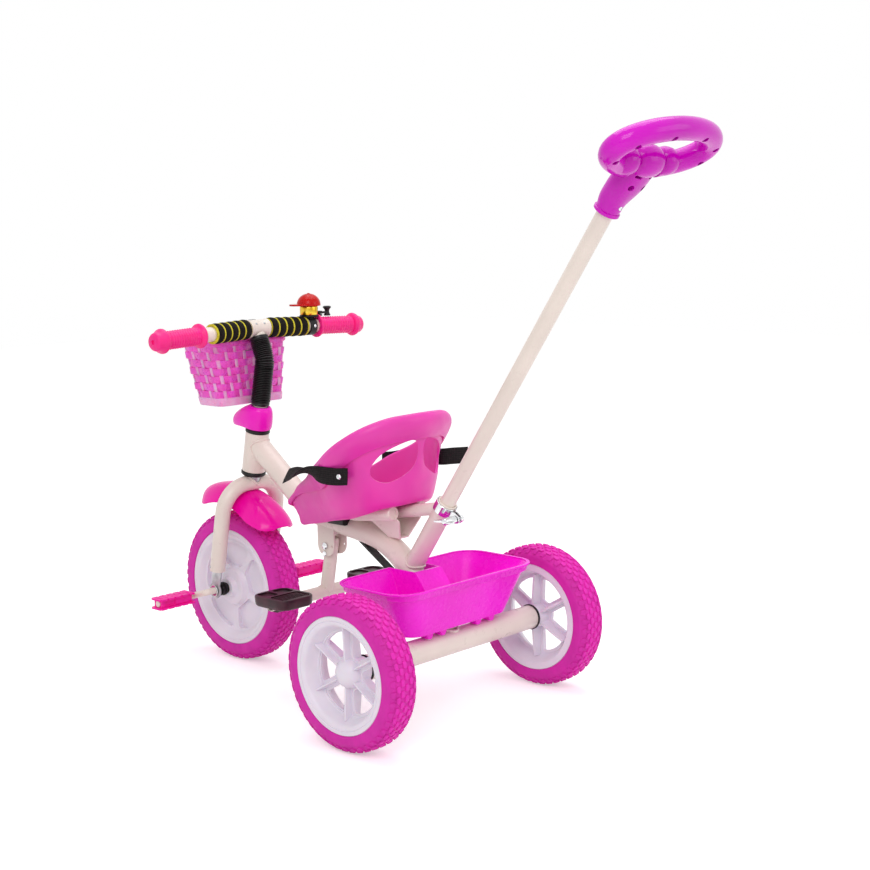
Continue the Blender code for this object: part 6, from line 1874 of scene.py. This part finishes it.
def build_stage():
    """The floor, the white surround, the lamps and the camera of the photograph's view."""
    scene = bpy.context.scene
    mesh = bpy.data.meshes.new("floor")
    bm = bmesh.new()
    corners = [bm.verts.new((x, y, -0.0002)) for x, y in ((-6, -6), (6, -6), (6, 6), (-6, 6))]
    bm.faces.new(corners)
    bm.to_mesh(mesh)
    bm.free()
    floor = linked("floor", mesh)
    # Matt white paper: bright to the camera and in reflections, but it still takes the shadow
    paper = bpy.data.materials.new("matt white paper")
    paper.use_nodes = True
    tree = paper.node_tree
    shader = tree.nodes["Principled BSDF"]
    shader.inputs["Base Color"].default_value = linear("#f4f3f2")
    shader.inputs["Roughness"].default_value = 0.9
    place = add_node(tree, "ShaderNodeTexCoord").outputs["Object"]
    fibre = add_node(tree, "ShaderNodeTexNoise", {"Vector": place, "Scale": 400.0, "Detail": 2.0})
    links = {"Height": fibre.outputs["Fac"], "Distance": 0.0002}
    tree.links.new(add_node(tree, "ShaderNodeBump", links).outputs["Normal"], shader.inputs["Normal"])
    shader.inputs["Emission Color"].default_value = (1.0, 1.0, 1.0, 1.0)
    lift = add_node(tree, "ShaderNodeMath", {0: seen_rays(tree), 1: 0.42}, operation="MULTIPLY")
    tree.links.new(lift.outputs[0], shader.inputs["Emission Strength"])
    mesh.materials.append(paper)

    world = bpy.data.worlds.new("white surround")
    scene.world = world
    world.use_nodes = True
    tree = world.node_tree
    tree.nodes.clear()
    links = {"Value": seen_rays(tree), "To Min": 0.62, "To Max": 1.0}
    level = add_node(tree, "ShaderNodeMapRange", links).outputs["Result"]
    sky = add_node(tree, "ShaderNodeBackground", {"Color": (1.0, 1.0, 1.0, 1.0), "Strength": level})
    add_node(tree, "ShaderNodeOutputWorld", {"Surface": sky.outputs[0]})

    # Each lamp's place, size in metres and power in watts
    for name, place, size, power in (
        ("key", (-1.6, 2.0, 2.2), 1.5, 26.0),
        ("top", (0.2, -0.4, 2.4), 1.8, 20.0),
        ("fill", (-2.4, -1.2, 1.2), 1.4, 7.0),
    ):
        lamp = bpy.data.lights.new(name, "AREA")
        lamp.shape = "SQUARE"
        lamp.size = size
        lamp.energy = power
        obj = linked(name, lamp)
        obj.location = place
        aim = Vector((0.0, 0.0, 0.3)) - Vector(place)
        obj.rotation_euler = aim.to_track_quat("-Z", "Y").to_euler()

    lens = bpy.data.cameras.new("camera")
    lens.lens = CAMERA_LENS
    lens.sensor_width = 36.0
    lens.clip_start = 0.05
    eye = linked("camera", lens)
    back = CAMERA_RIGHT.cross(CAMERA_UP)
    turn = Matrix((CAMERA_RIGHT, CAMERA_UP, back)).transposed().to_4x4()
    eye.matrix_world = Matrix.Translation(CAMERA_PLACE) @ turn
    scene.camera = eye
    scene.view_settings.view_transform = "Standard"


# Add-on

STEPS = []


def step(identifier, label, words, *builders):
    """An operator that makes one group of pieces. It is kept in the order that the pieces are made."""

    def execute(self, context):
        for builder in builders:
            builder()
        return {"FINISHED"}

    content = {"bl_idname": "tricycle." + identifier, "bl_label": label, "__doc__": words, "execute": execute}
    STEPS.append(type("TRICYCLE_OT_" + identifier, (bpy.types.Operator,), content))


step("stage", "Stage", "Make the floor, the lamps and the camera", build_stage)
step("frame", "Frame tubes", "Make the painted tubes of the frame and their welds", build_frame)
step("wheels", "Wheels", "Make the three tyres and their rims", build_wheels)
step("fork", "Fork", "Make the fork and its dropouts", build_fork)
step("fender", "Fender", "Make the fender over the front wheel", build_fender)
step("drive", "Cranks and pedals", "Make the cranks, the bushes and the pedals", build_drive)
step("seat", "Seat", "Make the bucket seat", build_seat)
step("belts", "Belts", "Make the two waist straps", build_belts)
step("bin", "Bin", "Make the rear bin", build_bin)
step("clamp", "Clamp", "Make the pole's clamp and wing screw", build_clamp)
step("push_handle", "Push handle", "Make the push pole and its handle", build_push_handle)
step("footrest", "Footrest", "Make the folding footrest", build_footrest)
step("column", "Steering column", "Make the bearing rings, the cap, the stem and the hose", build_column)
step("handlebar", "Handlebar", "Make the bar, the foams and the grips", build_handlebar)
step("basket", "Basket", "Make the woven basket", build_basket)
step("bell", "Bell", "Make the bell and its lever", build_bell)


class TRICYCLE_PT_panel(bpy.types.Panel):
    """Lists the tricycle's sizes, colours and steps"""

    bl_idname = "TRICYCLE_PT_panel"
    bl_label = "Tricycle"
    bl_space_type = "VIEW_3D"
    bl_region_type = "UI"
    bl_category = "Tricycle"

    def draw(self, context):
        for group in (context.scene.tricycle_sizes, context.scene.tricycle_colours):
            for name in group.__annotations__:
                self.layout.prop(group, name)
        for operator in STEPS:
            self.layout.operator(operator.bl_idname)


def register():
    """Register the classes and the scene's settings."""
    for cls in [TricycleColours, TricycleSizes, *STEPS, TRICYCLE_PT_panel]:
        bpy.utils.register_class(cls)
    bpy.types.Scene.tricycle_colours = PointerProperty(type=TricycleColours)
    bpy.types.Scene.tricycle_sizes = PointerProperty(type=TricycleSizes)


def unregister():
    """Remove what register added."""
    del bpy.types.Scene.tricycle_sizes
    del bpy.types.Scene.tricycle_colours
    for cls in [TRICYCLE_PT_panel, *reversed(STEPS), TricycleSizes, TricycleColours]:
        bpy.utils.unregister_class(cls)


def main():
    """Make every piece in order, and note the two sizes."""
    register()
    for operator in STEPS:
        getattr(bpy.ops.tricycle, operator.bl_idname.split(".")[1])()


if __name__ == "__main__":
    main()
